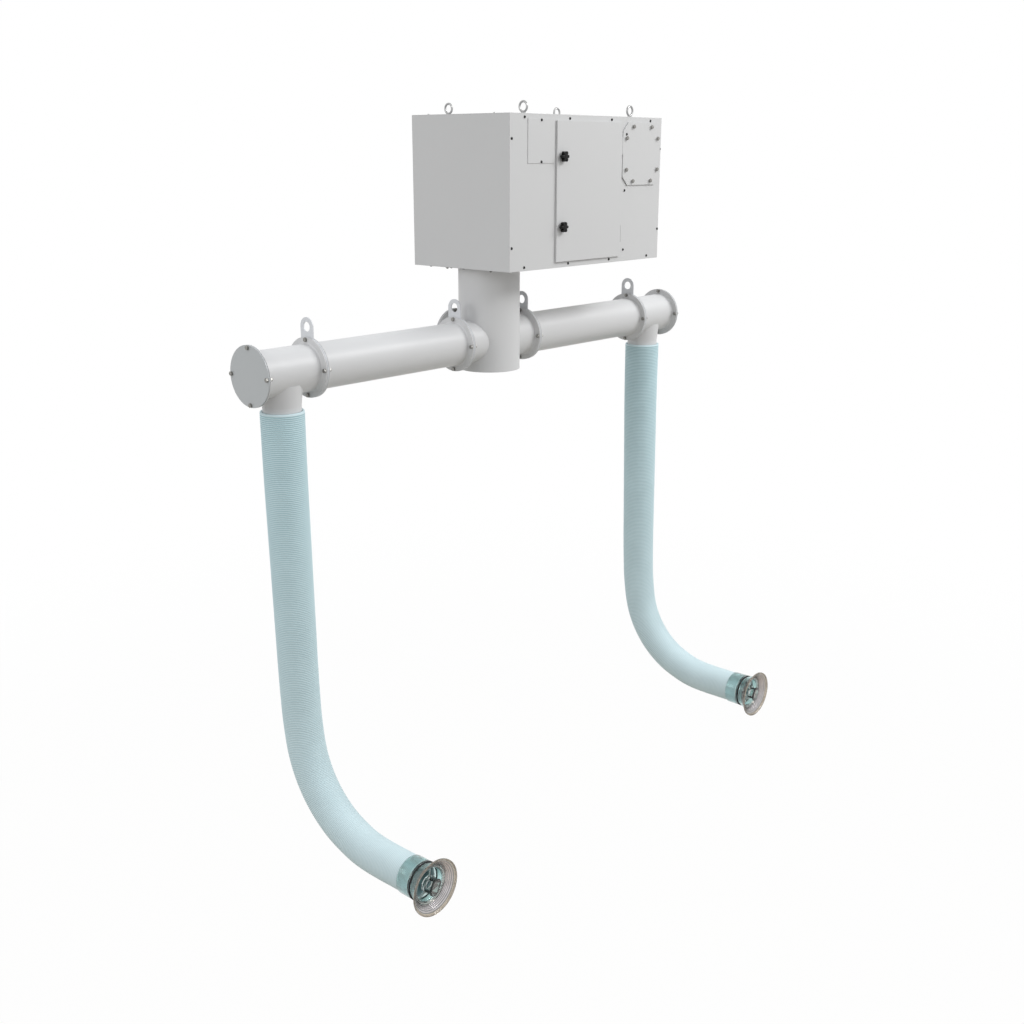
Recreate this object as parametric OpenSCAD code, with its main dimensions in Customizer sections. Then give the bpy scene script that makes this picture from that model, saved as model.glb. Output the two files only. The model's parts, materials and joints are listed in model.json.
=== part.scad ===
// Ceiling-hung fume extraction unit: filter and fan cabinet, manifold duct and two flexible hose arms.
// Frame: origin at the centre of the cabinet's top face, +X along the front, +Y to the back, +Z up.

/* [Cabinet] */
// Width of the cabinet along its front
cab_w = 715; // [705:5:760]
// Depth of the cabinet from front to back
cab_d = 384; // [376:2:430]
// Height of the cabinet
cab_h = 430; // [424:2:480]
// Thickness of the sheet steel
sheet_t = 1.5; // [1:0.25:2]
// Width of the folded edges that the panels are screwed to
fold_w = 20; // [16:1:21]
// Distance of the hanging eye bolts from the cabinet's centre, along X
eye_x = 250; // [200:5:300]
// Distance of the hanging eye bolts from the cabinet's centre, along Y
eye_y = 147; // [110:1:160]
// Middle radius of an eye bolt's ring
eye_ring_r = 14.5; // [12:0.5:18]
// Thickness of the wire of an eye bolt's ring
eye_wire_d = 5; // [4:0.5:7]

/* [Door] */
// Left edge of the filter door, from the cabinet's left edge
door_left = 198; // [192:1:200]
// Width of the filter door
door_w = 308; // [304:1:310]
// Distance from the cabinet's top and bottom edges to the filter door
door_margin = 17; // [15:1:24]
// How far the door stands in front of the cabinet
door_proud = 6; // [5:0.5:8]
// How far the door covers the edge of its opening
door_lap = 10; // [9:0.5:11]
// Diameter of the star knobs
knob_d = 30; // [24:1:36]
// Height of a star knob's head
knob_h = 12; // [10:1:16]
// Reach of a latch tongue past the middle of its knob
tongue_reach = 28; // [24:1:30]

/* [Ducts] */
// Outside diameter of the main duct under the cabinet
main_d = 185; // [175:1:188]
// Length of the main duct below the cabinet
main_l = 306.5; // [300:1:340]
// Middle of the main duct, from the cabinet's left edge
main_inset = 122; // [120:1:124]
// Outside diameter of the manifold ducts
duct_d = 125; // [112:1:130]
// Wall of all the ducts
duct_wall = 1.5; // [1:0.25:2]
// Depth of the manifold's middle line below the cabinet
duct_drop = 218; // [215:1:225]
// Distance from the main duct's axis to the first flanges
stub_reach = 149; // [146:1:160]
// Distance from the main duct's axis to the outer flanges
outer_reach = 699.5; // [600:5:760]
// Length of a tee between its flanges
tee_l = 188; // [184:1:210]
// Outside diameter of the stubs that carry the hoses
stub_d = 102; // [98:0.5:102]
// Outside diameter of the flanges
flange_d = 160; // [156:1:170]
// Thickness of a flange
flange_t = 3; // [2:0.5:4]
// Radius of the flare between a duct and its flange
flare_r = 5; // [3:0.5:5]
// Diameter of the circle of flange bolts
flange_pcd = 147; // [146:0.5:148]
// Thickness of the flange seals
seal_t = 1.5; // [1:0.25:2]
// Thickness of the hanging plates
hanger_t = 3; // [2:0.5:4]
// Height of the hanging hole above the manifold's middle line
lug_hole_h = 107; // [104:1:115]
// Diameter of the hanging hole
lug_hole_d = 26; // [20:1:30]
// Width of the hanging lug
lug_w = 49.6; // [46:0.2:56]

/* [Hoses] */
// Outside diameter over the ribs at a hose's upper end, across corners
hose_top_d = 120; // [119:0.5:124]
// Outside diameter over the ribs at a hose's lower end, across corners
hose_end_d = 102.4; // [98:0.4:102.8]
// Depth of a rib
rib_h = 1.8; // [1.2:0.1:2]
// Thickness of the hose skin under the ribs
hose_skin = 2; // [1.5:0.1:2]
// Distance between ribs
rib_pitch = 15; // [15:1:30]
// How far a hose hangs over its stub
hose_lap = 60; // [40:5:70]
// Length of the stub that stays in view above a hose
stub_show = 102; // [100:1:120]

/* [Nozzles] */
// Outside diameter of the clear sleeve round a hose end
sleeve_d = 108; // [107:0.5:112]
// How far a hose end sits inside the sleeve
sleeve_lap = 40; // [30:1:60]
// Wall of the moulded nozzle pieces
mould_t = 2.5; // [2:0.1:2.6]
// Width of the black seal ring
ring_w = 4; // [3:0.5:6]
// Diameter of the nozzle's rim
rim_d = 156.8; // [150:0.4:170]
// Length of the hood in front of the seal ring
hood_l = 43.7; // [43:0.1:52]
// Width of the rim's lip
lip_w = 5; // [4:0.5:6]
// Length of the grip bar in the nozzle's mouth
grip_l = 50; // [40:1:60]

/* [Fan and filters] */
// Depth of the first filter along the air's way
pre_t = 46; // [40:1:46]
// Depth of the fine filter along the air's way
fine_t = 130; // [110:1:130]
// Depth of the gas filter along the air's way
gas_t = 72; // [60:1:72]
// Front-to-back length of the filters
filter_l = 356; // [330:1:358]
// Width of the frames round the filters
filter_frame = 16; // [12:1:20]
// Outside diameter of the fan wheel
wheel_d = 250; // [220:5:260]
// Diameter of the fan's inlet
inlet_d = 150; // [140:2:160]
// Number of blades on the fan wheel
blades = 7; // [5:1:9]

/* [Hidden] */

$fn = 64;
overrun = 1;
gap = 0.3;
run_gap = 0.05;
steel = "gainsboro";
dark = "dimgray";
black = "black";
zinc = "silver";
clear = [0.8, 0.87, 0.87, 0.5];

// Faces of the cabinet, outside and inside the sheet
x_left = -cab_w / 2;
x_right = cab_w / 2;
y_front = -cab_d / 2;
y_back = cab_d / 2;
in_left = x_left + sheet_t;
in_right = x_right - sheet_t;
in_front = y_front + sheet_t;
in_back = y_back - sheet_t;
in_top = -sheet_t;
in_floor = -cab_h + sheet_t;
fold_front = in_front + sheet_t;
fold_back = in_back - sheet_t;
corner_gap = 1;

// Panel screws
screw_head_d = 8;
screw_head_h = 2.5;
screw_d = 4;
screw_l = 8;
screw_hole_d = 4.2;
screw_top_d = 5.6;
edge_in = fold_w / 2;
side_in = 8.6;
right_in = 5;
row_x_shares = [0.087, 0.364, 0.641, 0.917];
row_xs = [for (s = row_x_shares) x_left + s * cab_w];
left_z_shares = [0.157, 0.846];
right_z_shares = [0.217, 0.788];
rear_z_shares = [0.2, 0.5, 0.8];
column_x_share = 0.741;
column_z_shares = [0.503, 0.918];
blank_screw_z_share = 0.118;
column_x = x_left + column_x_share * cab_w;
bottom_y_shares = [-0.294, -0.01, 0.12, 0.341];
top_y_shares = [-0.333, 0.339];
front_screws = concat(
    [for (x = row_xs) [x, -edge_in]],
    [for (x = row_xs) [x, -cab_h + edge_in]],
    [for (s = left_z_shares) [x_left + side_in, -s * cab_h]],
    [for (s = right_z_shares) [x_right - right_in, -s * cab_h]],
    [for (s = column_z_shares) [column_x, -s * cab_h]]);
blank_screws = [[column_x, -blank_screw_z_share * cab_h]];
rear_screws = concat(
    [for (x = row_xs) [x, -edge_in]],
    [for (x = row_xs) [x, -cab_h + edge_in]],
    [for (s = rear_z_shares, x = [x_left + side_in, x_right - side_in]) [x, -s * cab_h]]);
top_screws = [for (s = top_y_shares, x = [x_left + side_in, x_right - side_in]) [x, s * cab_d]];
bottom_screws = [for (s = bottom_y_shares, x = [x_left + side_in, x_right - side_in]) [x, s * cab_d]];

// Hanging eye bolts
eye_hole_d = 9;
eye_shank_d = 8;
eye_collar_d = 14;
eye_collar_h = 5;
eye_nut_af = 13;
eye_nut_h = 6.5;
eye_shank_l = 12;
eye_z = eye_collar_h + eye_ring_r;

// Control cover and the box behind it
cover_inset = 75.5;
cover_left = x_left + cover_inset;
cover_w = 115.5;
cover_top = -13;
cover_h = 120.5;
cover_lap = 9;
cover_screw_in = 3.5;
cover_screws = [for (z = [cover_top - cover_screw_in, cover_top - cover_h + cover_screw_in])
    [cover_left + cover_w / 2, z]];
box_deep = 70;
box_in = 2;
box_right_gap = 6;
box_x0 = cover_left + box_in;
box_x1 = cover_left + cover_w - box_right_gap;
box_z0 = cover_top - cover_h + box_in;
box_z1 = min(cover_top - box_in, -fold_w - corner_gap);

// Blanked front outlet
blank_inset = 609.2;
blank_x = x_left + blank_inset;
blank_z = -108.3;
blank_w = 193;
blank_h = 184.6;
blank_cut = 26;
blank_t = 3;
blank_seal_t = 1;
outlet_d = 140;
outlet_bolt_r = 92.6;
outlet_bolt_angles = [30, 60, 120, 150, 210, 240, 300, 330];
outlet_bolt_af = 10;
outlet_bolt_h = 6.4;
outlet_washer_d = 12;
outlet_washer_t = 1.6;
outlet_bolt_d = 6;
outlet_bolt_hole_d = 6.6;
outlet_bolt_l = 14;

// Door, its opening, seal and hinges
door_x0 = x_left + door_left;
door_x1 = door_x0 + door_w;
door_z1 = -door_margin;
door_z0 = -cab_h + door_margin;
door_h = door_z1 - door_z0;
door_y0 = y_front - door_proud;
door_y1 = y_front - gap;
open_x0 = door_x0 + door_lap;
open_x1 = door_x1 - door_lap;
open_z0 = door_z0 + door_lap;
open_z1 = door_z1 - door_lap;
seal_in = 1;
door_seal_w = door_lap - sheet_t - 2 * seal_in;
hinge_r = 2.4;
hinge_pin_r = 1.2;
hinge_l = 50;
hinge_tab_w = 2.8;
hinge_tab_t = 1;
hinge_out = 3.5;
hinge_proud = 3.4;
hinge_x = door_x1 + hinge_out;
hinge_y = y_front - hinge_proud;
hinge_z_shares = [0.1086, 0.7652];
hinge_tops = [for (s = hinge_z_shares) door_z1 - s * door_h];

// Knobs and latches
knob_inset = 22.6;
knob_z_shares = [0.2485, 0.7475];
knob_x = door_x0 + knob_inset;
knob_zs = [for (s = knob_z_shares) door_z1 - s * door_h];
knob_neck_d = 16;
knob_neck_h = 6;
knob_lobes = 6;
knob_lobe_share = 0.3;
knob_chamfer = 2;
latch_shaft_d = 10;
latch_bush_d = 18;
latch_bush_h = 4;
tongue_t = 3;
tongue_w = 12;
tongue_y = in_front + gap;
latch_nut_af = 13;
latch_nut_h = 5;

// Filter bay between the two bulkheads
bay_inset = 32;
bay_past = 1;
bay_x0 = open_x0 + bay_inset;
bay_x1 = open_x1 + bay_past;
filter_gaps = 4;
filter_gap = (bay_x1 - bay_x0 - pre_t - fine_t - gas_t) / filter_gaps;
pre_x = bay_x0 + filter_gap;
fine_x = pre_x + pre_t + filter_gap;
gas_x = fine_x + fine_t + filter_gap;
filter_back_gap = 3;
filter_y1 = in_back - filter_back_gap;
filter_y0 = filter_y1 - filter_l;
filter_z0 = open_z0;
filter_top_gap = 4;
hat_gap = 2;
filter_z1 = open_z1 - filter_top_gap;
hat_z = filter_z1 + hat_gap;
support_xs = [bay_x0, (bay_x0 + bay_x1 - sheet_t) / 2, bay_x1 - sheet_t];
ridge_t = 1.2;
ridge_h = 8;
seal_inset = 10;
seal_band = 5;
bulk_open_in = 26;
bulk_fold = 15;
column_in = 7;
front_fold_w = column_x - bay_x1 - sheet_t + column_in;
pleat_t = 1.5;
pre_pleats = 22;
fine_pleats = 34;
pack_in = 3;
gas_bars = 6;
gas_bar_w = 4;
gas_bed_in = 6;

// Fan: axis along X, distances measured from the fan bulkhead's far face
fan_x = bay_x1 + sheet_t;
fan_y = 0;
fan_z = -cab_h / 2;
wheel_r = wheel_d / 2;
inlet_r = inlet_d / 2;
cone_curl = 20;
cone_tip = 38;
cone_flange = 18;
cone_screw_d = 4;
cone_screws = 6;
eye_gap = 2.5;
eye_r = inlet_r + sheet_t + eye_gap;
wheel_x = 30;
wheel_neck = 6;
shroud_drop = 16;
wheel_back = 98;
plate_t = 2;
blade_t = 2;
blade_turn = 62;
blade_steps = 7;
can_r = 46;
can_x = 70;
can_t = 3;
stator_r = 41.5;
stator_gap = 1.5;
stator_x = can_x + can_t + stator_gap;
stator_end = 108;
shaft_r = 6;
bearing_r = 14;
bearing_w = 8;
bearing_in = 3;
bearing_xs = [stator_x + bearing_in, stator_end - bearing_w - bearing_in];
motor_flange_r = 52;
motor_flange_t = 4;
bracket_x = stator_end + motor_flange_t;
bracket_t = 3;
bracket_w = 26;
strut_r = 5;
strut_out = 24;
strut_ring = wheel_r + strut_out;

// Outlet grille in the right side
grille_w = 220;
grille_h = 220;
grille_slots = 10;
grille_slot_h = 9;
grille_columns = 2;
grille_border = 18;
grille_web = 14;
grille_screw_in = 9;

// Fan controller and cable gland
ctrl_w = 80;
ctrl_h = 90;
ctrl_base_t = 6;
ctrl_fins = 9;
ctrl_fin_t = 2;
ctrl_fin_l = 26;
gland_x = cover_left + cover_w / 2;
gland_z = -60;
gland_d = 20;
gland_af = 24;
gland_hex_h = 6;
gland_dome_h = 16;
gland_bore_d = 9;
gland_nose_d = 14.4;

// Ducts: the manifold is symmetric about the main duct
main_x = x_left + main_inset;
duct_z = -cab_h - duct_drop;
main_r = main_d / 2;
main_bottom = -cab_h - main_l;
duct_r = duct_d / 2;
flange_r = flange_d / 2;
lug_r = lug_w / 2;
end_reach = outer_reach + tee_l;
tee_reach = outer_reach + tee_l / 2;
half_stack = hanger_t / 2 + seal_t;
cap_t = 3;
base_flange_t = 3;
base_flange_half = main_inset - sheet_t - fold_w - corner_gap / 2;
base_bolt_in = 12;
base_bolt_at = base_flange_half - base_bolt_in;
main_hole_gap = 0.5;
bolt_d = 6;
bolt_hole_d = 6.6;
bolt_af = 10;
bolt_head_h = 4;
washer_d = 11;
washer_t = 1.2;
nut_h = 5;
bolt_tail = 3;
bolt_angles = [0, 90, 180, 270];
saddle_grow = 6;
saddle_drop = 26;

// Hoses: one row a point, how far forward of the stub and how far below the hose's upper end
hose_route = [[0, 0], [0, 60], [0, 120], [1, 220], [3, 320], [5, 420], [7, 520], [9, 620], [11, 720],
    [14, 800], [19, 875], [34, 966], [63, 1036], [109, 1096], [169, 1142], [239, 1171], [291, 1182],
    [348, 1185], [397, 1185], [446, 1185], [486, 1185]];
hose_sides = 8;
hose_top_z = duct_z - stub_show;
stub_end_z = hose_top_z - hose_lap;
hose_last = hose_route[len(hose_route) - 1];
nozzle_y = -hose_last[0] + sleeve_lap;
nozzle_z = hose_top_z - hose_last[1];
arm_xs = [main_x - tee_reach, main_x + tee_reach];

// Nozzle: distances measured forward from the sleeve's rear edge
sleeve_r = sleeve_d / 2;
journal_r = 48;
journal_wall = 2.5;
shoulder_t = 6.6;
ring_d0 = sleeve_lap + shoulder_t;
ring_d1 = ring_d0 + ring_w;
hood_d0 = ring_d1 + gap;
hood_d1 = hood_d0 + hood_l;
catch_in = 15.6;
catch_d = hood_d0 + catch_in;
catch_w = 2;
catch_h = 1.5;
neck_r = 52.5;
step_r = 57;
ledge_gap = 0.8;
ledge_d = catch_d + catch_w + ledge_gap;
ledge_r = 54;
ledge_w = 2.4;
neck_l = 10;
rim_r = rim_d / 2;
flare_steps = 8;
flare_power_share = 1.8;
guard_t = 4;
spoke_w = 4.5;
hub_r = 23.5;
hub_hole_r = 13;
hub_back = 7;
grip_w = 9;
grip_t = 6;
leg_at = 16;
leg_t = 6;
spoke_angles = [90, 210, 330];

// Box between two corners
module slab(x0, x1, y0, y1, z0, z1) {
    translate([x0, y0, z0]) cube([x1 - x0, y1 - y0, z1 - z0]);
}

// Flat ring with straight sides, standing in the YZ plane
module frame_x(x0, x1, y0, y1, z0, z1, band) {
    difference() {
        slab(x0, x1, y0, y1, z0, z1);
        slab(x0 - overrun, x1 + overrun, y0 + band, y1 - band, z0 + band, z1 - band);
    }
}

// Children are drawn with their Z axis along +X
module along_x(x, y, z) {
    translate([x, y, z]) rotate([0, 90, 0]) children();
}

// Children are drawn with their Z axis pointing out of a face of the cabinet
module on_front(places, y = y_front) {
    for (p = places) translate([p[0], y, p[1]]) rotate([90, 0, 0]) children();
}
module on_rear(places) {
    for (p = places) translate([p[0], y_back, p[1]]) rotate([-90, 0, 0]) children();
}
module on_top(places) {
    for (p = places) translate([p[0], p[1], 0]) children();
}
module on_bottom(places) {
    for (p = places) translate([p[0], p[1], -cab_h]) rotate([180, 0, 0]) children();
}

// Panel screw with a low round head, and the hole for it
module panel_screw() {
    translate([0, 0, -screw_l]) cylinder(d = screw_d, h = screw_l + sheet_t / 2);
    cylinder(d1 = screw_head_d, d2 = screw_top_d, h = screw_head_h);
}
module screw_hole() {
    translate([0, 0, -screw_l - overrun]) cylinder(d = screw_hole_d, h = screw_l + overrun + screw_head_h);
}
module cabinet_screw_holes() {
    on_front(concat(front_screws, cover_screws, blank_screws)) screw_hole();
    on_rear(rear_screws) screw_hole();
    on_top(top_screws) screw_hole();
    on_bottom(bottom_screws) screw_hole();
}

// Hexagon across its flats
module hex(af, h) {
    cylinder(d = af / cos(30), h = h, $fn = 6);
}

// Cabinet panels
module top_panel() color(steel) difference() {
    union() {
        slab(x_left, x_right, in_front, in_back, -sheet_t, 0);
        slab(in_left, in_right, in_front, fold_front, -fold_w, 0);
        slab(in_left, in_right, fold_back, in_back, -fold_w, 0);
    }
    cabinet_screw_holes();
    for (x = [-eye_x, eye_x], y = [-eye_y, eye_y]) translate([x, y, -sheet_t - overrun])
        cylinder(d = eye_hole_d, h = sheet_t + 2 * overrun);
}

module bottom_panel() color(steel) difference() {
    union() {
        slab(x_left, x_right, in_front, in_back, -cab_h, in_floor);
        slab(in_left, in_right, in_front, fold_front, -cab_h, -cab_h + fold_w);
        slab(in_left, in_right, fold_back, in_back, -cab_h, -cab_h + fold_w);
    }
    cabinet_screw_holes();
    translate([main_x, 0, -cab_h - overrun])
        cylinder(d = main_d + 2 * main_hole_gap, h = sheet_t + 2 * overrun);
    for (dx = [-base_bolt_at, base_bolt_at], dy = [-base_bolt_at, base_bolt_at])
        translate([main_x + dx, dy, -cab_h - overrun]) cylinder(d = bolt_hole_d, h = sheet_t + 2 * overrun);
}

// Side panel at the left, a pan with four folded edges
module side_pan() {
    z0 = in_floor;
    z1 = in_top;
    slab(x_left, in_left, in_front, in_back, z0, z1);
    for (y = [in_front, fold_back])
        slab(x_left, in_left + fold_w, y, y + sheet_t, z0 + fold_w, z1 - fold_w);
    for (z = [z0, z1 - sheet_t])
        slab(x_left, in_left + fold_w, fold_front + corner_gap, fold_back - corner_gap, z, z + sheet_t);
}

module left_panel() color(steel) difference() {
    side_pan();
    cabinet_screw_holes();
}

module right_panel() color(steel) difference() {
    mirror([1, 0, 0]) side_pan();
    cabinet_screw_holes();
    slab(in_right - overrun, x_right + overrun, -grille_w / 2 + grille_border, grille_w / 2 - grille_border,
        fan_z - grille_h / 2 + grille_border, fan_z + grille_h / 2 - grille_border);
    grille_screw_places() screw_hole();
}

module rear_panel() color(steel) difference() {
    slab(x_left, x_right, in_back, y_back, -cab_h, 0);
    cabinet_screw_holes();
    on_rear([[gland_x, gland_z]]) translate([0, 0, -sheet_t - overrun])
        cylinder(d = gland_d + 2 * gap, h = sheet_t + 2 * overrun);
}

module front_panel() color(steel) difference() {
    slab(x_left, x_right, y_front, in_front, -cab_h, 0);
    cabinet_screw_holes();
    slab(open_x0, open_x1, y_front - overrun, in_front + overrun, open_z0, open_z1);
    slab(cover_left + cover_lap, cover_left + cover_w - cover_lap, y_front - overrun, in_front + overrun,
        cover_top - cover_h + cover_lap, cover_top - cover_lap);
    on_front([[blank_x, blank_z]]) {
        translate([0, 0, -sheet_t - overrun]) cylinder(d = outlet_d, h = sheet_t + 2 * overrun);
        outlet_bolt_places() translate([0, 0, -sheet_t - overrun])
            cylinder(d = outlet_bolt_hole_d, h = sheet_t + 2 * overrun);
    }
}

module panel_screws() color(black) {
    on_front(front_screws) panel_screw();
    on_rear(rear_screws) panel_screw();
    on_top(top_screws) panel_screw();
    on_bottom(bottom_screws) panel_screw();
    on_front(cover_screws, y_front - sheet_t) panel_screw();
    on_front(blank_screws, y_front - blank_seal_t - blank_t) panel_screw();
    grille_screw_places() translate([0, 0, sheet_t]) panel_screw();
}

// Cover of the control box
module control_cover() color(steel) difference() {
    slab(cover_left, cover_left + cover_w, y_front - sheet_t, y_front, cover_top - cover_h, cover_top);
    on_front(cover_screws) screw_hole();
}

// Eight-sided blank plate over the front outlet
module outlet_bolt_places() {
    for (a = outlet_bolt_angles) rotate(a) translate([outlet_bolt_r, 0, 0]) children();
}
module blank_outline(inset) {
    w = blank_w / 2 - inset;
    h = blank_h / 2 - inset;
    c = blank_cut;
    polygon([[w, -h + c], [w, h - c], [w - c, h], [-w + c, h], [-w, h - c], [-w, -h + c],
        [-w + c, -h], [w - c, -h]]);
}
module outlet_blank() color(steel) difference() {
    on_front([[blank_x, blank_z]], y_front - blank_seal_t) linear_extrude(blank_t) blank_outline(0);
    on_front([[blank_x, blank_z]]) outlet_bolt_places()
        cylinder(d = outlet_bolt_hole_d, h = blank_seal_t + blank_t + overrun);
    on_front(blank_screws, y_front - blank_seal_t - blank_t) screw_hole();
}
module outlet_seal() color(dark) difference() {
    on_front([[blank_x, blank_z]]) linear_extrude(blank_seal_t) blank_outline(corner_gap);
    on_front([[blank_x, blank_z]]) {
        translate([0, 0, -overrun]) cylinder(d = outlet_d, h = blank_seal_t + 2 * overrun);
        outlet_bolt_places() translate([0, 0, -overrun])
            cylinder(d = outlet_bolt_hole_d, h = blank_seal_t + 2 * overrun);
    }
    on_front(blank_screws, y_front - blank_seal_t) screw_hole();
}
module outlet_bolts() color(zinc) on_front([[blank_x, blank_z]])
    outlet_bolt_places() translate([0, 0, blank_seal_t + blank_t]) {
        cylinder(d = outlet_washer_d, h = outlet_washer_t);
        hex(outlet_bolt_af, outlet_bolt_h);
        translate([0, 0, -outlet_bolt_l]) cylinder(d = outlet_bolt_d, h = outlet_bolt_l + outlet_bolt_h);
    }

// Hanging eye bolts: ring, collar, shank and nut
module eye_bolt(turn) rotate(turn) {
    cylinder(d = eye_collar_d, h = eye_collar_h);
    translate([0, 0, eye_z]) rotate([90, 0, 0]) rotate_extrude()
        translate([eye_ring_r, 0]) circle(d = eye_wire_d);
    translate([0, 0, -eye_shank_l]) cylinder(d = eye_shank_d, h = eye_shank_l + eye_collar_h);
    translate([0, 0, -sheet_t - eye_nut_h]) hex(eye_nut_af, eye_nut_h);
}
module eye_bolts() color(zinc) for (x = [-eye_x, eye_x], y = [-eye_y, eye_y])
    translate([x, y, 0]) eye_bolt(x < 0 ? 90 : 0);

// Door: a shallow pan with bushes for the latches
module door_panel() color(steel) difference() {
    union() {
        difference() {
            slab(door_x0, door_x1, door_y0, door_y1, door_z0, door_z1);
            slab(door_x0 + sheet_t, door_x1 - sheet_t, door_y0 + sheet_t, y_front + overrun,
                door_z0 + sheet_t, door_z1 - sheet_t);
        }
        for (z = knob_zs) translate([knob_x, door_y0 + sheet_t + latch_bush_h, z]) rotate([90, 0, 0])
            cylinder(d = latch_bush_d, h = latch_bush_h + sheet_t / 2);
    }
    for (z = knob_zs) translate([knob_x, y_front + overrun, z]) rotate([90, 0, 0])
        cylinder(d = latch_shaft_d + 2 * run_gap, h = door_proud + 2 * overrun);
}
module door_seal() color(black) difference() {
    slab(door_x0 + sheet_t + seal_in, door_x1 - sheet_t - seal_in, door_y0 + sheet_t, door_y1,
        door_z0 + sheet_t + seal_in, door_z1 - sheet_t - seal_in);
    slab(open_x0 - seal_in, open_x1 + seal_in, door_y0, y_front, open_z0 - seal_in, open_z1 + seal_in);
}

// Hinges: the upper half of each barrel turns with the door
module hinge_places() {
    for (z = hinge_tops) translate([hinge_x, hinge_y, z]) children();
}
module door_knuckles() color(steel) hinge_places() difference() {
    union() {
        translate([0, 0, -hinge_l / 2 + gap]) cylinder(r = hinge_r, h = hinge_l / 2 - gap);
        slab(door_x1 - hinge_x, -hinge_pin_r - hinge_tab_t / 2, -hinge_tab_t, hinge_tab_t,
            -hinge_l / 2 + gap, 0);
    }
    translate([0, 0, -hinge_l]) cylinder(r = hinge_pin_r + run_gap, h = hinge_l + overrun);
}
module hinge_pins() color(steel) hinge_places() {
    translate([0, 0, -hinge_l]) cylinder(r = hinge_r, h = hinge_l / 2);
    translate([0, 0, -hinge_l]) cylinder(r = hinge_pin_r, h = hinge_l);
    slab(0, hinge_tab_w, y_front - hinge_y - hinge_tab_t, y_front - hinge_y, -hinge_l, -hinge_l / 2);
    slab(0, hinge_tab_t, 0, y_front - hinge_y, -hinge_l, -hinge_l / 2);
}

// Star knob with its shaft, and the tongue on the shaft's inner end
module star_knob(z) {
    lobe_r = knob_d * knob_lobe_share / 2;
    lobe_at = knob_d / 2 - lobe_r;
    shaft_l = tongue_y + tongue_t - door_y0;
    translate([knob_x, door_y0, z]) rotate([90, 0, 0]) {
        translate([0, 0, gap]) cylinder(d = knob_neck_d, h = knob_neck_h);
        translate([0, 0, gap + knob_neck_h]) {
            cylinder(r = lobe_at, h = knob_h);
            for (i = [0:knob_lobes - 1]) rotate(i * 360 / knob_lobes) translate([lobe_at, 0, 0]) {
                cylinder(r = lobe_r, h = knob_h - knob_chamfer);
                translate([0, 0, knob_h - knob_chamfer])
                    cylinder(r1 = lobe_r, r2 = lobe_r - knob_chamfer, h = knob_chamfer);
            }
        }
        translate([0, 0, -shaft_l]) cylinder(d = latch_shaft_d, h = shaft_l + gap + knob_neck_h);
    }
}
module knob_upper() color(black) star_knob(knob_zs[0]);
module knob_lower() color(black) star_knob(knob_zs[1]);
module tongue(z) {
    translate([knob_x, tongue_y, z]) difference() {
        union() {
            rotate([-90, 0, 0]) cylinder(d = tongue_w + latch_shaft_d / 2, h = tongue_t);
            slab(-tongue_w / 2, tongue_w / 2, 0, tongue_t, -tongue_reach, 0);
            translate([0, tongue_t, 0]) rotate([-90, 0, 0]) hex(latch_nut_af, latch_nut_h);
        }
        translate([0, -overrun, 0]) rotate([-90, 0, 0]) cylinder(d = latch_shaft_d, h = tongue_t + overrun);
    }
}
module tongue_upper() color(zinc) tongue(knob_zs[0]);
module tongue_lower() color(zinc) tongue(knob_zs[1]);

// Bulkheads on both sides of the filter bay
module inlet_bulkhead() color(steel) {
    frame_x(bay_x0 - sheet_t, bay_x0, fold_front, fold_back, in_floor, in_top, bulk_open_in + door_lap);
}
module fan_bulkhead() color(steel) difference() {
    union() {
        slab(bay_x1, fan_x, fold_front, fold_back, in_floor, in_top);
        slab(bay_x1, fan_x + front_fold_w, in_front, fold_front, -cab_h + fold_w + corner_gap,
            -fold_w - corner_gap);
        slab(bay_x1, fan_x + bulk_fold, fold_back - sheet_t, fold_back, in_floor, in_top);
    }
    cabinet_screw_holes();
    along_x(bay_x1 - overrun, fan_y, fan_z)
        cylinder(r = inlet_r + cone_curl + gap, h = sheet_t + 2 * overrun);
    on_front([[blank_x, blank_z]]) outlet_bolt_places() translate([0, 0, -outlet_bolt_l])
        cylinder(d = outlet_bolt_hole_d, h = outlet_bolt_l);
    strut_places() translate([0, 0, -sheet_t - overrun]) cylinder(d = screw_d, h = sheet_t + 2 * overrun);
    cone_screw_places() translate([0, 0, -sheet_t - overrun])
        cylinder(d = cone_screw_d + 2 * gap, h = sheet_t + 2 * overrun);
}

// Shelf and ceiling that the filters slide between, each on three upright webs
module filter_tray() color(steel) {
    y0 = fold_front;
    y1 = fold_back;
    slab(bay_x0, bay_x1, y0, y1, filter_z0 - sheet_t, filter_z0);
    for (x = support_xs) slab(x, x + sheet_t, y0, y1, in_floor, filter_z0 - sheet_t / 2);
    for (x = [fine_x, gas_x]) slab(x - filter_gap / 2 - ridge_t / 2, x - filter_gap / 2 + ridge_t / 2,
        filter_y0, filter_y1, filter_z0 - sheet_t, filter_z0 + ridge_h);
}
module filter_ceiling() color(steel) {
    slab(bay_x0, bay_x1, fold_front, fold_back, hat_z, hat_z + sheet_t);
    for (x = support_xs) slab(x, x + sheet_t, fold_front, fold_back, hat_z + sheet_t / 2, in_top);
}

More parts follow.
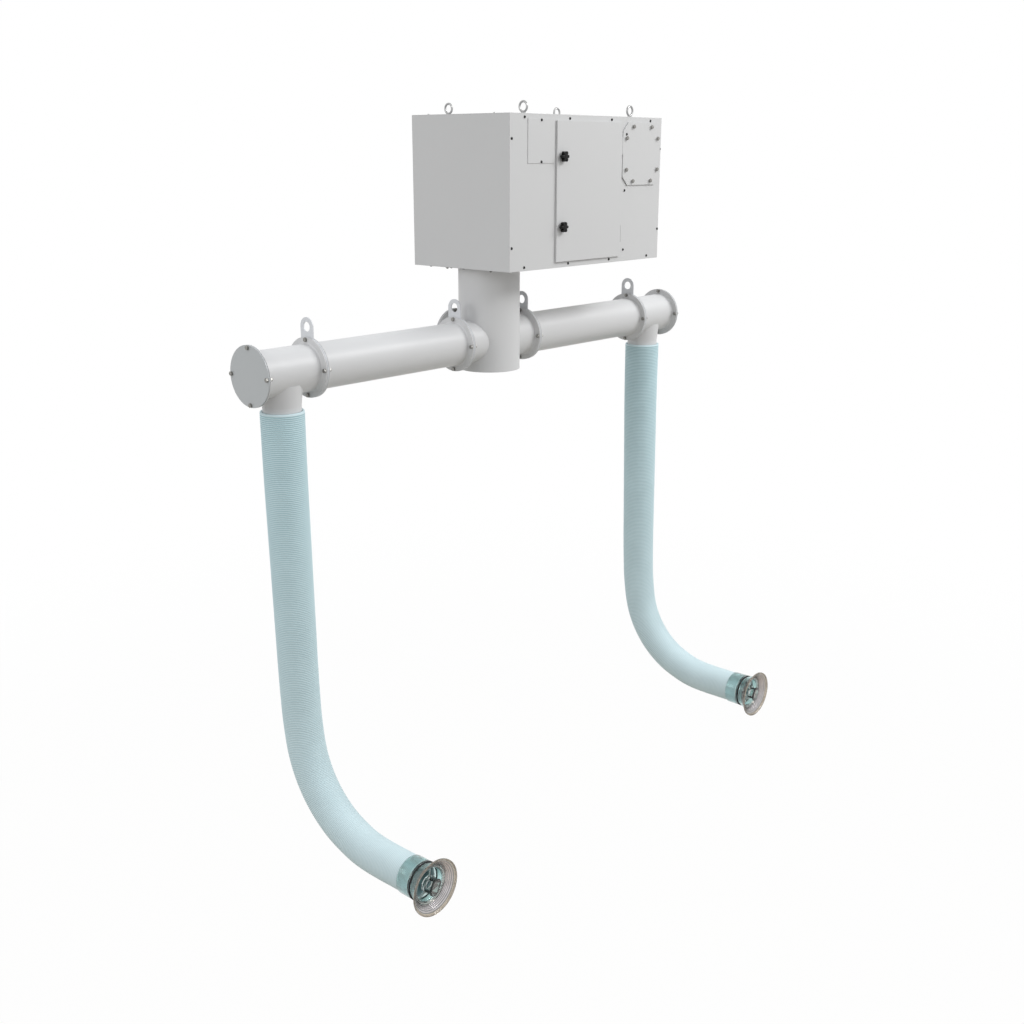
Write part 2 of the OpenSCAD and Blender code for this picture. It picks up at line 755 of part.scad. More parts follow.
// Folded filter medium across a frame's opening, as one zigzag sheet
module pleats(x0, x1, folds) {
    y0 = filter_y0 + filter_frame - pack_in;
    y1 = filter_y1 - filter_frame + pack_in;
    step = (y1 - y0) / folds;
    deep = x1 - x0 - 2 * pack_in;
    wide = pleat_t * sqrt(1 + pow(deep / step, 2));
    a = x0 + pack_in;
    b = x1 - pack_in - wide;
    near = [for (i = [0:folds]) [i % 2 == 0 ? a : b, y0 + i * step]];
    far = [for (i = [folds:-1:0]) [(i % 2 == 0 ? a : b) + wide, y0 + i * step]];
    translate([0, 0, filter_z0 + filter_frame - pack_in])
        linear_extrude(filter_z1 - filter_z0 - 2 * filter_frame + 2 * pack_in) polygon(concat(near, far));
}
module filter_casing(x0, depth) {
    frame_x(x0, x0 + depth, filter_y0, filter_y1, filter_z0, filter_z1, filter_frame);
}
module pre_filter() color("white") {
    filter_casing(pre_x, pre_t);
    pleats(pre_x, pre_x + pre_t, pre_pleats);
}
module fine_filter() color("white") {
    filter_casing(fine_x, fine_t);
    pleats(fine_x, fine_x + fine_t, fine_pleats);
}
module gas_filter() color(dark) {
    y0 = filter_y0 + filter_frame;
    y1 = filter_y1 - filter_frame;
    z0 = filter_z0 + filter_frame;
    z1 = filter_z1 - filter_frame;
    filter_casing(gas_x, gas_t);
    slab(gas_x + gas_bed_in, gas_x + gas_t - gas_bed_in, y0, y1, z0, z1);
    for (i = [1:gas_bars]) {
        y = y0 + i * (y1 - y0) / (gas_bars + 1);
        slab(gas_x, gas_x + gas_t, y - gas_bar_w / 2, y + gas_bar_w / 2, z0, z1);
    }
}
module filter_seals() color(black) for (x = [pre_x, fine_x, gas_x, bay_x1])
    frame_x(x - filter_gap, x, filter_y0 + seal_inset, filter_y1 - seal_inset, filter_z0 + seal_inset,
        filter_z1 - seal_inset, seal_band);

// Inlet cone on the fan bulkhead
module cone_screw_places() {
    along_x(fan_x, fan_y, fan_z) for (i = [0:cone_screws - 1]) rotate(i * 360 / cone_screws)
        translate([inlet_r + cone_curl + cone_flange / 2, 0, 0]) children();
}
module inlet_cone() color(zinc) {
    inside = [for (a = [0:15:90]) [inlet_r + cone_curl - cone_curl * sin(a), cone_curl - cone_curl * cos(a)]];
    back_r = cone_curl - sheet_t;
    outside = [for (a = [90:-15:0]) [inlet_r + cone_curl - back_r * sin(a), cone_curl - back_r * cos(a)]];
    rim = inlet_r + cone_curl + cone_flange;
    profile = concat(inside, [[inlet_r, cone_tip], [inlet_r + sheet_t, cone_tip]], outside,
        [[rim, sheet_t], [rim, 0]]);
    difference() {
        along_x(fan_x, fan_y, fan_z) rotate_extrude() polygon(profile);
        cone_screw_places() translate([0, 0, -overrun]) cylinder(d = cone_screw_d, h = sheet_t + 2 * overrun);
    }
}

// Fan wheel: neck, shroud, back plate, curved blades and the motor's outer can
function blade_point(r, a) = [r * cos(a), r * sin(a)];
module blade() {
    lead_r = eye_r + blade_t;
    tip_r = wheel_r - blade_t;
    span = tip_r - lead_r;
    shares = [for (i = [0:blade_steps]) i / blade_steps];
    front = [for (s = shares) blade_point(lead_r + s * span, -s * blade_turn / 2)];
    back = [for (i = [blade_steps:-1:0]) let (s = shares[i], r = lead_r + s * span)
        blade_point(r, -s * blade_turn / 2 + blade_t / r * 180 / PI)];
    linear_extrude(wheel_back - wheel_x) polygon(concat(front, back));
}
module wheel_room() {
    low = wheel_neck + sheet_t / 2;
    top = wheel_back - wheel_x + plate_t / 2;
    rotate_extrude() polygon([[eye_r - blade_t, low], [eye_r + sheet_t / 2, low],
        [wheel_r, low + shroud_drop], [wheel_r, top], [eye_r - blade_t, top]]);
}
module fan_wheel() color(dark) {
    along_x(fan_x + wheel_x, fan_y, fan_z) {
        rotate_extrude() polygon([[eye_r, 0], [eye_r + sheet_t, 0], [eye_r + sheet_t, wheel_neck],
            [wheel_r, wheel_neck + shroud_drop], [wheel_r, wheel_neck + shroud_drop + sheet_t],
            [eye_r, wheel_neck + sheet_t]]);
        intersection() {
            for (i = [0:blades - 1]) rotate(i * 360 / blades) blade();
            wheel_room();
        }
    }
    along_x(fan_x, fan_y, fan_z) rotate_extrude() polygon([[shaft_r, can_x], [can_r, can_x],
        [can_r, wheel_back], [wheel_r, wheel_back], [wheel_r, wheel_back + plate_t],
        [can_r - can_t, wheel_back + plate_t], [can_r - can_t, can_x + can_t], [shaft_r, can_x + can_t]]);
}
module fan_shaft() color(zinc) along_x(fan_x + can_x, fan_y, fan_z)
    cylinder(r = shaft_r, h = stator_end - can_x - overrun);
module fan_bearings() color(zinc) for (x = bearing_xs) along_x(fan_x + x, fan_y, fan_z) difference() {
    cylinder(r = bearing_r, h = bearing_w);
    translate([0, 0, -overrun]) cylinder(r = shaft_r + run_gap, h = bearing_w + 2 * overrun);
}
module fan_motor() color(dark) along_x(fan_x, fan_y, fan_z) difference() {
    union() {
        translate([0, 0, stator_x]) cylinder(r = stator_r, h = stator_end - stator_x);
        translate([0, 0, stator_end]) cylinder(r = motor_flange_r, h = motor_flange_t);
    }
    translate([0, 0, stator_x - overrun])
        cylinder(r = (shaft_r + bearing_r) / 2, h = stator_end - stator_x + overrun);
    for (x = bearing_xs) translate([0, 0, x]) cylinder(r = bearing_r, h = bearing_w);
    translate([0, 0, stator_x - overrun]) cylinder(r = bearing_r, h = bearing_xs[0] - stator_x + 2 * overrun);
    translate([0, 0, bearing_xs[1]]) cylinder(r = bearing_r, h = stator_end - bearing_xs[1]);
}
module strut_places() {
    along_x(fan_x, fan_y, fan_z) for (a = [45:90:315]) rotate(a) translate([strut_ring, 0, 0]) children();
}
module motor_bracket() color(steel) {
    along_x(fan_x + bracket_x, fan_y, fan_z) linear_extrude(bracket_t) {
        circle(r = motor_flange_r);
        for (a = [45, 135]) rotate(a)
            square([2 * strut_ring + bracket_w, bracket_w], center = true);
    }
    strut_places() cylinder(r = strut_r, h = bracket_x);
}

// Slotted outlet plate on the right side
module grille_screw_places() {
    h = grille_h / 2 - grille_screw_in;
    w = grille_w / 2 - grille_screw_in;
    for (y = [-w, w], z = [fan_z - h, fan_z + h]) translate([x_right, y, z]) rotate([0, 90, 0]) children();
}
module outlet_grille() color(steel) difference() {
    slab(x_right, x_right + sheet_t, -grille_w / 2, grille_w / 2, fan_z - grille_h / 2, fan_z + grille_h / 2);
    grille_screw_places() screw_hole();
    slot_l = (grille_w - 2 * grille_border - 2 * grille_web * grille_columns) / grille_columns;
    step_y = (grille_w - 2 * grille_border) / grille_columns;
    step_z = (grille_h - 2 * grille_border) / grille_slots;
    for (i = [0:grille_columns - 1], k = [0:grille_slots - 1]) {
        y = -grille_w / 2 + grille_border + (i + 0.5) * step_y;
        z = fan_z - grille_h / 2 + grille_border + (k + 0.5) * step_z;
        slab(x_right - overrun, x_right + sheet_t + overrun, y - slot_l / 2, y + slot_l / 2,
            z - grille_slot_h / 2, z + grille_slot_h / 2);
    }
}

// Sheet box behind the control cover, and the fan's controller in it
module control_box() color(steel) difference() {
    slab(box_x0, box_x1, in_front, in_front + box_deep, box_z0, box_z1);
    slab(box_x0 + sheet_t, box_x1 - sheet_t, in_front - overrun, in_front + box_deep - sheet_t,
        box_z0 + sheet_t, box_z1 - sheet_t);
    on_front(cover_screws) screw_hole();
}
module fan_controller() color(dark) {
    x0 = (box_x0 + box_x1) / 2 - ctrl_w / 2;
    z0 = (box_z0 + box_z1) / 2 - ctrl_h / 2;
    y1 = in_front + box_deep - sheet_t;
    slab(x0, x0 + ctrl_w, y1 - ctrl_base_t, y1, z0, z0 + ctrl_h);
    for (i = [0:ctrl_fins - 1]) {
        x = x0 + i * (ctrl_w - ctrl_fin_t) / (ctrl_fins - 1);
        slab(x, x + ctrl_fin_t, y1 - ctrl_base_t - ctrl_fin_l, y1, z0, z0 + ctrl_h);
    }
}
module cable_gland() color(dark) on_rear([[gland_x, gland_z]]) difference() {
    union() {
        translate([0, 0, -sheet_t - gland_hex_h]) cylinder(d = gland_d, h = sheet_t + 2 * gland_hex_h);
        hex(gland_af, gland_hex_h);
        translate([0, 0, -sheet_t - gland_hex_h]) hex(gland_af, gland_hex_h);
        translate([0, 0, gland_hex_h]) cylinder(d1 = gland_af, d2 = gland_nose_d, h = gland_dome_h);
    }
    translate([0, 0, -sheet_t - gland_hex_h - overrun])
        cylinder(d = gland_bore_d, h = sheet_t + 2 * gland_hex_h + gland_dome_h + 2 * overrun);
}

// Duct with flared flanges, drawn along +Z from 0 to l
module flange_profile(r, end, out) {
    // the flange's outer face is at end, and the duct goes the other way from out
    translate([r - duct_wall, min(end, end - out * flange_t)]) square([flange_r - r + duct_wall, flange_t]);
    translate([r, end - out * flange_t]) difference() {
        translate([-duct_wall / 2, min(0, -out * flare_r)]) square([flare_r + duct_wall / 2, flare_r]);
        translate([flare_r, -out * flare_r]) circle(r = flare_r);
    }
}
module duct_pipe(z0, z1, low, high) {
    rotate_extrude() {
        translate([duct_r - duct_wall, z0]) square([duct_wall, z1 - z0]);
        if (low) flange_profile(duct_r, z0, -1);
        if (high) flange_profile(duct_r, z1, 1);
    }
}
module bolt_places(r = flange_pcd / 2) {
    for (a = bolt_angles) rotate(a) translate([r, 0, 0]) children();
}
module bolt_holes(z0, z1) {
    bolt_places() translate([0, 0, z0 - overrun]) cylinder(d = bolt_hole_d, h = z1 - z0 + 2 * overrun);
}

// Children are drawn on the right-hand half of the manifold, with Z outward from the main duct
module half(side) {
    translate([main_x, 0, duct_z]) mirror([side < 0 ? 1 : 0, 0, 0]) rotate([0, 90, 0]) children();
}

module main_duct() color(steel) difference() {
    union() {
        translate([main_x, 0, main_bottom]) cylinder(r = main_r, h = in_floor - main_bottom + base_flange_t);
        translate([main_x - base_flange_half, -base_flange_half, in_floor])
            cube([2 * base_flange_half, 2 * base_flange_half, base_flange_t]);
        for (side = [-1, 1]) half(side) duct_pipe(0, stub_reach - half_stack, false, true);
        rear_port() duct_pipe(0, stub_reach - seal_t, false, true);
        for (side = [-1, 1]) half(side) cylinder(r = duct_r - duct_wall / 2, h = main_r);
    }
    translate([main_x, 0, main_bottom + duct_wall])
        cylinder(r = main_r - duct_wall, h = in_floor - main_bottom + base_flange_t + overrun);
    for (side = [-1, 1]) half(side) {
        cylinder(r = duct_r - duct_wall, h = stub_reach);
        bolt_holes(stub_reach - half_stack - flange_t, stub_reach);
    }
    rear_port() {
        cylinder(r = duct_r - duct_wall, h = stub_reach);
        bolt_holes(stub_reach - half_stack - flange_t, stub_reach);
    }
    base_bolt_places() translate([0, 0, -overrun]) cylinder(d = bolt_hole_d, h = base_flange_t + 2 * overrun);
}
module rear_port() {
    translate([main_x, 0, duct_z]) rotate([-90, 0, 0]) children();
}
module base_bolt_places() {
    for (dx = [-base_bolt_at, base_bolt_at], dy = [-base_bolt_at, base_bolt_at])
        translate([main_x + dx, dy, in_floor]) children();
}
module main_duct_bolts() color(zinc) base_bolt_places() {
    translate([0, 0, base_flange_t]) cylinder(d = washer_d, h = washer_t);
    translate([0, 0, base_flange_t]) hex(bolt_af, washer_t + bolt_head_h);
    translate([0, 0, -sheet_t - nut_h - bolt_tail])
        cylinder(d = bolt_d, h = sheet_t + nut_h + bolt_tail + base_flange_t + washer_t);
    translate([0, 0, -sheet_t - nut_h]) hex(bolt_af, nut_h);
}

// Blank plate on the rear port
module rear_blank() color(steel) rear_port() difference() {
    translate([0, 0, stub_reach]) cylinder(r = flange_r, h = cap_t);
    bolt_holes(stub_reach, stub_reach + cap_t);
}

module straight_duct(side) half(side) difference() {
    duct_pipe(stub_reach + half_stack, outer_reach - half_stack, true, true);
    bolt_holes(stub_reach, stub_reach + half_stack + flange_t);
    bolt_holes(outer_reach - half_stack - flange_t, outer_reach);
}
module left_duct() color(steel) straight_duct(-1);
module right_duct() color(steel) straight_duct(1);

// Tee with the stub that carries a hose
module tee(side) {
    x = main_x + side * tee_reach;
    difference() {
        union() {
            half(side) duct_pipe(outer_reach + half_stack, end_reach - seal_t, true, true);
            translate([x, 0, stub_end_z]) cylinder(d = stub_d, h = duct_z - stub_end_z);
            translate([x, 0, duct_z - duct_r - saddle_drop])
                cylinder(d1 = stub_d, d2 = stub_d + 2 * saddle_grow, h = saddle_drop + duct_r / 2);
        }
        half(side) cylinder(r = duct_r - duct_wall, h = end_reach);
        translate([x, 0, stub_end_z - overrun])
            cylinder(d = stub_d - 2 * duct_wall, h = duct_z - stub_end_z + overrun);
        half(side) {
            bolt_holes(outer_reach, outer_reach + half_stack + flange_t);
            bolt_holes(end_reach - flange_t - seal_t, end_reach);
        }
    }
}
module left_tee() color(steel) tee(-1);
module right_tee() color(steel) tee(1);

module end_caps() color(steel) for (side = [-1, 1]) half(side) difference() {
    translate([0, 0, end_reach]) cylinder(r = flange_r, h = cap_t);
    bolt_holes(end_reach, end_reach + cap_t);
}

// Ring plate with a hanging lug, clamped between two flanges; the lug points up
module hanger_plate(at) {
    translate([0, 0, at - hanger_t / 2]) difference() {
        union() {
            cylinder(r = flange_r, h = hanger_t);
            translate([-lug_hole_h, -lug_r, 0]) cube([lug_hole_h, 2 * lug_r, hanger_t]);
            translate([-lug_hole_h, 0, 0]) cylinder(r = lug_r, h = hanger_t);
        }
        translate([0, 0, -overrun]) cylinder(r = duct_r - duct_wall, h = hanger_t + 2 * overrun);
        translate([-lug_hole_h, 0, -overrun]) cylinder(d = lug_hole_d, h = hanger_t + 2 * overrun);
        bolt_holes(0, hanger_t);
    }
}
module hanger_plates() color(steel) for (side = [-1, 1], at = [stub_reach, outer_reach])
    half(side) hanger_plate(at);

module flange_seal(at) {
    difference() {
        translate([0, 0, at]) cylinder(r = flange_r - corner_gap, h = seal_t);
        translate([0, 0, at - overrun]) cylinder(r = duct_r - duct_wall, h = seal_t + 2 * overrun);
        bolt_holes(at, at + seal_t);
    }
}
module flange_seals() color(black) {
    for (side = [-1, 1]) half(side) {
        for (at = [stub_reach, outer_reach]) {
            flange_seal(at - half_stack);
            flange_seal(at + hanger_t / 2);
        }
        flange_seal(end_reach - seal_t);
    }
    rear_port() flange_seal(stub_reach - seal_t);
}

// Bolt through a stack from z0 to z1 with its head at z1, and the nut at z0
module flange_bolt(z0, z1) bolt_places() {
    translate([0, 0, z1]) cylinder(d = washer_d, h = washer_t);
    translate([0, 0, z1]) hex(bolt_af, washer_t + bolt_head_h);
    translate([0, 0, z0 - nut_h - bolt_tail])
        cylinder(d = bolt_d, h = z1 - z0 + nut_h + bolt_tail + washer_t);
}
module flange_nut(z0) bolt_places() translate([0, 0, z0 - nut_h]) difference() {
    hex(bolt_af, nut_h);
    translate([0, 0, -overrun]) cylinder(d = bolt_d, h = nut_h + 2 * overrun);
}
module flange_bolts() color(zinc) {
    for (side = [-1, 1]) half(side) {
        for (at = [stub_reach, outer_reach])
            flange_bolt(at - half_stack - flange_t, at + half_stack + flange_t);
        flange_bolt(end_reach - seal_t - flange_t, end_reach + cap_t);
    }
    rear_port() flange_bolt(stub_reach - seal_t - flange_t, stub_reach + cap_t);
}
module flange_nuts() color(zinc) {
    for (side = [-1, 1]) half(side) {
        for (at = [stub_reach, outer_reach]) flange_nut(at - half_stack - flange_t);
        flange_nut(end_reach - seal_t - flange_t);
    }
    rear_port() flange_nut(stub_reach - seal_t - flange_t);
}

// Smooth curve through the route's points, with an even number of steps between two of them
function route_at(i) = i < 0 ? 2 * hose_route[0] - hose_route[1]
    : i >= len(hose_route) ? 2 * hose_last - hose_route[len(hose_route) - 2] : hose_route[i];
function spline(i, t) = let (a = route_at(i - 1), b = route_at(i), c = route_at(i + 1), d = route_at(i + 2))
    0.5 * (2 * b + (c - a) * t + (2 * a - 5 * b + 4 * c - d) * t * t + (3 * b - a - 3 * c + d) * t * t * t);
function steps_in(i) = 2 * max(1, round(norm(route_at(i + 1) - route_at(i)) / rib_pitch));
function centre_line(thin) = concat(
    [for (i = [0:len(hose_route) - 2], n = [thin ? 2 : steps_in(i)], k = [0:n - 1]) spline(i, k / n)],
    [hose_last]);

// Rings of points round the centre line; every second one stands out as a rib
function heading(line, j) = let (a = line[max(j - 1, 0)], b = line[min(j + 1, len(line) - 1)])
    (b - a) / norm(b - a);
function ring(line, j, r) = let (c = line[j], h = heading(line, j))
    [for (k = [0:hose_sides - 1]) let (a = 360 * (k + 0.5) / hose_sides)
        [r * cos(a), -c[0] - r * sin(a) * h[1], -c[1] + r * sin(a) * h[0]]];
function fall_share(line, j) = line[j][1] + line[j][0];
function taper(line, j) = let (s = fall_share(line, j) / (hose_last[0] + hose_last[1]))
    hose_top_d / 2 + s * (hose_end_d - hose_top_d) / 2;
function skin_faces(first, rings, turn) = [for (j = [0:rings - 2], k = [0:hose_sides - 1])
    let (a = first + j * hose_sides + k, b = first + j * hose_sides + (k + 1) % hose_sides)
    each turn ? [[a, a + hose_sides, b], [b, a + hose_sides, b + hose_sides]]
        : [[a, b, a + hose_sides], [b, b + hose_sides, a + hose_sides]]];
function end_faces(outer, inner, turn) = [for (k = [0:hose_sides - 1]) let (n = (k + 1) % hose_sides)
    each turn ? [[outer + k, inner + k, outer + n], [outer + n, inner + k, inner + n]]
        : [[outer + k, outer + n, inner + k], [outer + n, inner + n, inner + k]]];
module ribbed_hose() {
    out_line = centre_line(false);
    in_line = centre_line(true);
    n_out = len(out_line);
    n_in = len(in_line);
    outer = [for (j = [0:n_out - 1]) each ring(out_line, j, taper(out_line, j) - (j % 2 == 0 ? rib_h : 0))];
    inner = [for (j = [0:n_in - 1]) each ring(in_line, j, taper(in_line, j) - rib_h - hose_skin)];
    first_in = n_out * hose_sides;
    polyhedron(points = concat(outer, inner), faces = concat(
        skin_faces(0, n_out, false),
        skin_faces(first_in, n_in, true),
        end_faces(0, first_in, true),
        end_faces((n_out - 1) * hose_sides, first_in + (n_in - 1) * hose_sides, false)));
}
module hose_left() color("lightblue") translate([arm_xs[0], 0, hose_top_z]) ribbed_hose();
module hose_right() color("lightblue") translate([arm_xs[1], 0, hose_top_z]) ribbed_hose();

// Nozzle pieces are revolved about the hose end's axis, which points to the front
module at_nozzle(x) {
    translate([x, nozzle_y, nozzle_z]) rotate([90, 0, 0]) children();
}

// Clear sleeve round the hose end, with a shoulder and the journal that the hood turns on
module sleeve(x) at_nozzle(x) rotate_extrude() polygon([
    [sleeve_r - mould_t, 0], [sleeve_r, 0], [sleeve_r, ring_d0], [journal_r, ring_d0], [journal_r, catch_d],
    [journal_r + catch_h, catch_d + gap], [journal_r, catch_d + catch_w + gap],
    [journal_r - journal_wall, catch_d + catch_w + gap], [journal_r - journal_wall, sleeve_lap],
    [sleeve_r - mould_t, sleeve_lap]]);
module sleeve_left() color(clear) sleeve(arm_xs[0]);
module sleeve_right() color(clear) sleeve(arm_xs[1]);
module seal_ring(x) at_nozzle(x) translate([0, 0, ring_d0]) difference() {
    cylinder(r = sleeve_r + gap, h = ring_w);
    translate([0, 0, -overrun]) cylinder(r = journal_r, h = ring_w + 2 * overrun);
}
module seal_ring_left() color(black) seal_ring(arm_xs[0]);
module seal_ring_right() color(black) seal_ring(arm_xs[1]);

// Clear hood: neck on the journal, step, trumpet flare and rim
function flare(t) = step_r + (rim_r - mould_t - step_r) * pow(t, flare_power_share);
module hood(x) at_nozzle(x) {
    flare_d0 = ledge_d + ledge_w;
    flare_d1 = hood_d1 - lip_w;
    flare_l = flare_d1 - flare_d0;
    shares = [for (i = [0:flare_steps]) i / flare_steps];
    outside = [for (t = shares) [flare(t), flare_d0 + t * flare_l]];
    inside = [for (i = [flare_steps:-1:0]) [flare(shares[i]) - mould_t, flare_d0 + shares[i] * flare_l]];
    rotate_extrude() polygon(concat(
        [[journal_r + run_gap, hood_d0], [neck_r, hood_d0], [neck_r, hood_d0 + neck_l],
        [step_r, hood_d0 + neck_l + mould_t]],
        outside, [[rim_r, flare_d1], [rim_r, hood_d1], [rim_r - mould_t, hood_d1]], inside,
        [[ledge_r, flare_d0], [ledge_r, ledge_d], [neck_r - mould_t / 2, ledge_d],
        [neck_r - mould_t / 2, catch_d - gap], [journal_r + run_gap, catch_d - gap]]));
}
module hood_left() color(clear) hood(arm_xs[0]);
module hood_right() color(clear) hood(arm_xs[1]);

// Guard with three spokes, a hub and the grip bar
module guard(x) at_nozzle(x) {
    seat_r = ledge_r - run_gap;
    bar_d1 = hood_d1 - gap;
    difference() {
        translate([0, 0, ledge_d]) cylinder(r = seat_r, h = guard_t);
        translate([0, 0, ledge_d - overrun]) cylinder(r = journal_r, h = guard_t + 2 * overrun);
    }
    for (a = spoke_angles) rotate(a) translate([hub_r - spoke_w / 2, -spoke_w / 2, ledge_d])
        cube([journal_r - hub_r + spoke_w, spoke_w, guard_t]);
    difference() {
        translate([0, 0, ledge_d - hub_back]) cylinder(r = hub_r, h = hub_back + guard_t);
        translate([0, 0, ledge_d - hub_back - overrun])
            cylinder(r = hub_hole_r, h = hub_back + guard_t + 2 * overrun);
    }
    for (s = [-1, 1]) translate([-grip_w / 2, s * leg_at - leg_t / 2, ledge_d + guard_t / 2])
        cube([grip_w, leg_t, bar_d1 - grip_t / 2 - ledge_d - guard_t / 2]);
    translate([-grip_w / 2, -grip_l / 2 + grip_w / 2, bar_d1 - grip_t])
        cube([grip_w, grip_l - grip_w, grip_t]);
    for (s = [-1, 1]) translate([0, s * (grip_l - grip_w) / 2, bar_d1 - grip_t])
        cylinder(d = grip_w, h = grip_t);
}
module guard_left() color(clear) guard(arm_xs[0]);
module guard_right() color(clear) guard(arm_xs[1]);

top_panel();
bottom_panel();
left_panel();
right_panel();
rear_panel();
front_panel();
control_cover();
outlet_blank();
outlet_seal();
outlet_bolts();
panel_screws();
eye_bolts();
door_panel();
door_seal();
door_knuckles();
hinge_pins();
knob_upper();
knob_lower();
tongue_upper();
tongue_lower();
inlet_bulkhead();
fan_bulkhead();
filter_tray();
filter_ceiling();
pre_filter();
fine_filter();
gas_filter();
filter_seals();
inlet_cone();
fan_wheel();
fan_shaft();
fan_bearings();
fan_motor();
motor_bracket();
outlet_grille();
control_box();
fan_controller();
cable_gland();
main_duct();
main_duct_bolts();
rear_blank();
left_duct();
right_duct();
left_tee();
right_tee();
end_caps();
hanger_plates();
flange_seals();
flange_bolts();
flange_nuts();
hose_left();
hose_right();
sleeve_left();
sleeve_right();
seal_ring_left();
seal_ring_right();
hood_left();
hood_right();
guard_left();
guard_right();
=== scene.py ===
"""Looks of the ceiling-hung fume extraction unit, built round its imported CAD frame.

Everything is in metres in the frame of the CAD model: the origin is the centre of the cabinet's
top face, +X runs along the front, +Y goes to the back and +Z points up. Mouldings and fasteners
are drawn in millimetres as (x, y, d) points, and a place function puts them in the frame.
"""

import json
import math

import bmesh
import bpy
from mathutils import Matrix, Vector


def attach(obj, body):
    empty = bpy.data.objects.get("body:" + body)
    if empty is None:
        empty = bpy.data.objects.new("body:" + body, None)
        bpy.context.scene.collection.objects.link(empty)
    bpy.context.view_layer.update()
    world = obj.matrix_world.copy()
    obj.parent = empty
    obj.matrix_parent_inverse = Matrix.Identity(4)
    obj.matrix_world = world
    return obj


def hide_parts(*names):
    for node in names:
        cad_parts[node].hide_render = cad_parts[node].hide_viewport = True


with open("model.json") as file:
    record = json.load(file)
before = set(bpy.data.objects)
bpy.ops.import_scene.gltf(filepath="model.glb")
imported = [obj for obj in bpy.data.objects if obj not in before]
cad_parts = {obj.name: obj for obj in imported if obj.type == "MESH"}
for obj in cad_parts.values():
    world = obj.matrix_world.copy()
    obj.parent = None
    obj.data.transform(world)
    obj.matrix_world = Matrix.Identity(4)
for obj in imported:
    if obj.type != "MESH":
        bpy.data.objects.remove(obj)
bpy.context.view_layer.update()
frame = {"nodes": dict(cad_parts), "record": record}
nodes = frame["nodes"]
MM = 0.001

# Camera of the photograph
CAMERA_AT = Vector((-2.9556, -2.5224, -0.1057))
CAMERA_YAW = math.radians(48.238)
CAMERA_PITCH = math.radians(16.414)
CAMERA_ROLL = math.radians(0.073)
FOCAL_PX = 1218.93
PHOTO_PX = 1024
SENSOR_MM = 36.0
CLIP_END = 100

# Lamps: name, place, width, height and power in watts; all aim at one point
LAMPS = [
    ("key", (2.4, -3.4, 2.6), 4.2, 0.8, 168),
    ("fill", (-7.0, 0.6, 2.2), 3.0, 3.0, 95),
]
LAMPS_AIM = Vector((-0.2, 0, -0.8))
# Light of the world from straight below, from the side and from straight above
SKY = [(0.0, (0.30, 0.285, 0.26)), (0.5, (0.50, 0.50, 0.51)), (1.0, (0.90, 0.92, 0.95))]
# Floor: its rim fades between these shares of the radius, and most of what the camera sees of it
# is plain white, so that only a faint shadow is left
FLOOR_CENTRE = Vector((-0.2, 0.0, -2.75))
FLOOR_R = 6.0
FLOOR_SIDES = 64
FLOOR_FADE = (0.35, 0.95)
FLOOR_COLOUR = (0.41, 0.385, 0.33)
FLOOR_ROUGHNESS = 0.8
FLOOR_WHITE = 0.98

# Places and sizes repeated from part.scad
ARMS = {"left": -1.029, "right": 0.558}
HOSE_TOP_Z = -0.750
STUB_R = 0.051
HOSE_TOP_R = 0.05875
HOSE_END_R = 0.05075
HOSE_WALL = 0.0030
RIB_PITCH = 0.0052
NOZZLE_Y = -0.446
NOZZLE_Z = -1.935
KNOB_X = -0.1369
KNOB_ZS = {"upper": -0.1154, "lower": -0.3130}
DOOR_Y = -0.198

# Hose: how far forward of the stub and how far below its upper end it runs, in millimetres
HOSE_ROUTE = [
    (0, 0), (0, 60), (0, 120), (1, 220), (3, 320), (5, 420), (7, 520),
    (9, 620), (11, 720), (14, 800), (19, 875), (34, 966), (63, 1036), (109, 1096),
    (169, 1142), (239, 1171), (291, 1182), (348, 1185), (397, 1185), (446, 1185), (486, 1185),
]
ROUTE_STEPS = 40
HOSE_SIDES = 56
RIB_H = 0.0013
RIB_RINGS = 5
# The ribs get lower and their painted groove shade fainter towards the nozzle, round a middle
# shade
RIB_FADE = 0.4
SHADE_FADE = 0.6
SHADE_MIDDLE = 0.55
# The bore has fewer rings than the outside, and clears the stub along its first rings
BORE_EVERY = 12
CUFF_RINGS = 60
CUFF_GAP = 0.0002
MOUTH_GAP = 0.0003

# Nozzle, in millimetres: distances are measured forward from the sleeve's rear edge
GAP = 0.3
RUN_GAP = 0.05
WALL = 2.5
SLEEVE_R = 54.0
SLEEVE_LAP = 40.0
SLEEVE_EDGE = 0.8
JOURNAL_R = 48.0
JOURNAL_WALL = 2.5
SHOULDER_D = 46.6
CATCH_D = 66.5
CATCH_W = 2.0
CATCH_H = 1.5
RING_W = 4.0
RING_LIP = 1.4
RING_GROOVE = 0.6
RING_EDGE = 0.5
HOOD_D0 = 50.9
HOOD_D1 = 94.6
HOOD_EDGE = 0.9
NECK_R = 52.5
NECK_L = 10.0
STEP_R = 57.0
RIM_R = 78.4
LEDGE_D = 69.3
LEDGE_R = 54.0
LEDGE_W = 2.4
FLARE_POWER = 1.8
FLARE_STEPS = 56
LIP_W = 5.0
LIP_BACK_ROLL = 0.8
LIP_FRONT_ROLL = 1.2
# Shares of the flare outside and inside where the lip's look begins and ends
LIP_LOOK_FROM = 0.86
LIP_LOOK_TO = 0.05
# Moulded rings inside the flare; their crests have a dark look of their own, painted shade that
# draws the rings as dark lines
RIPPLES = 6
RIPPLE_H = 0.9
RIPPLE_CREST = 0.72
GUARD_T = 4.0
HUB_R = 23.5
HUB_HOLE_R = 13.0
HUB_BACK = 7.0
HUB_EDGE = 1.2
SPOKE_W = 4.5
SPOKE_CORNER = 1.3
SPOKE_ANGLES = (90, 210, 330)
SPOKE_STEPS = 6
SPOKE_SINK = 1.0
GRIP_T = 6.0
GRIP_SIZE = (32.0, 47.0)
GRIP_CORNER = 13.0
GRIP_TILT = -25
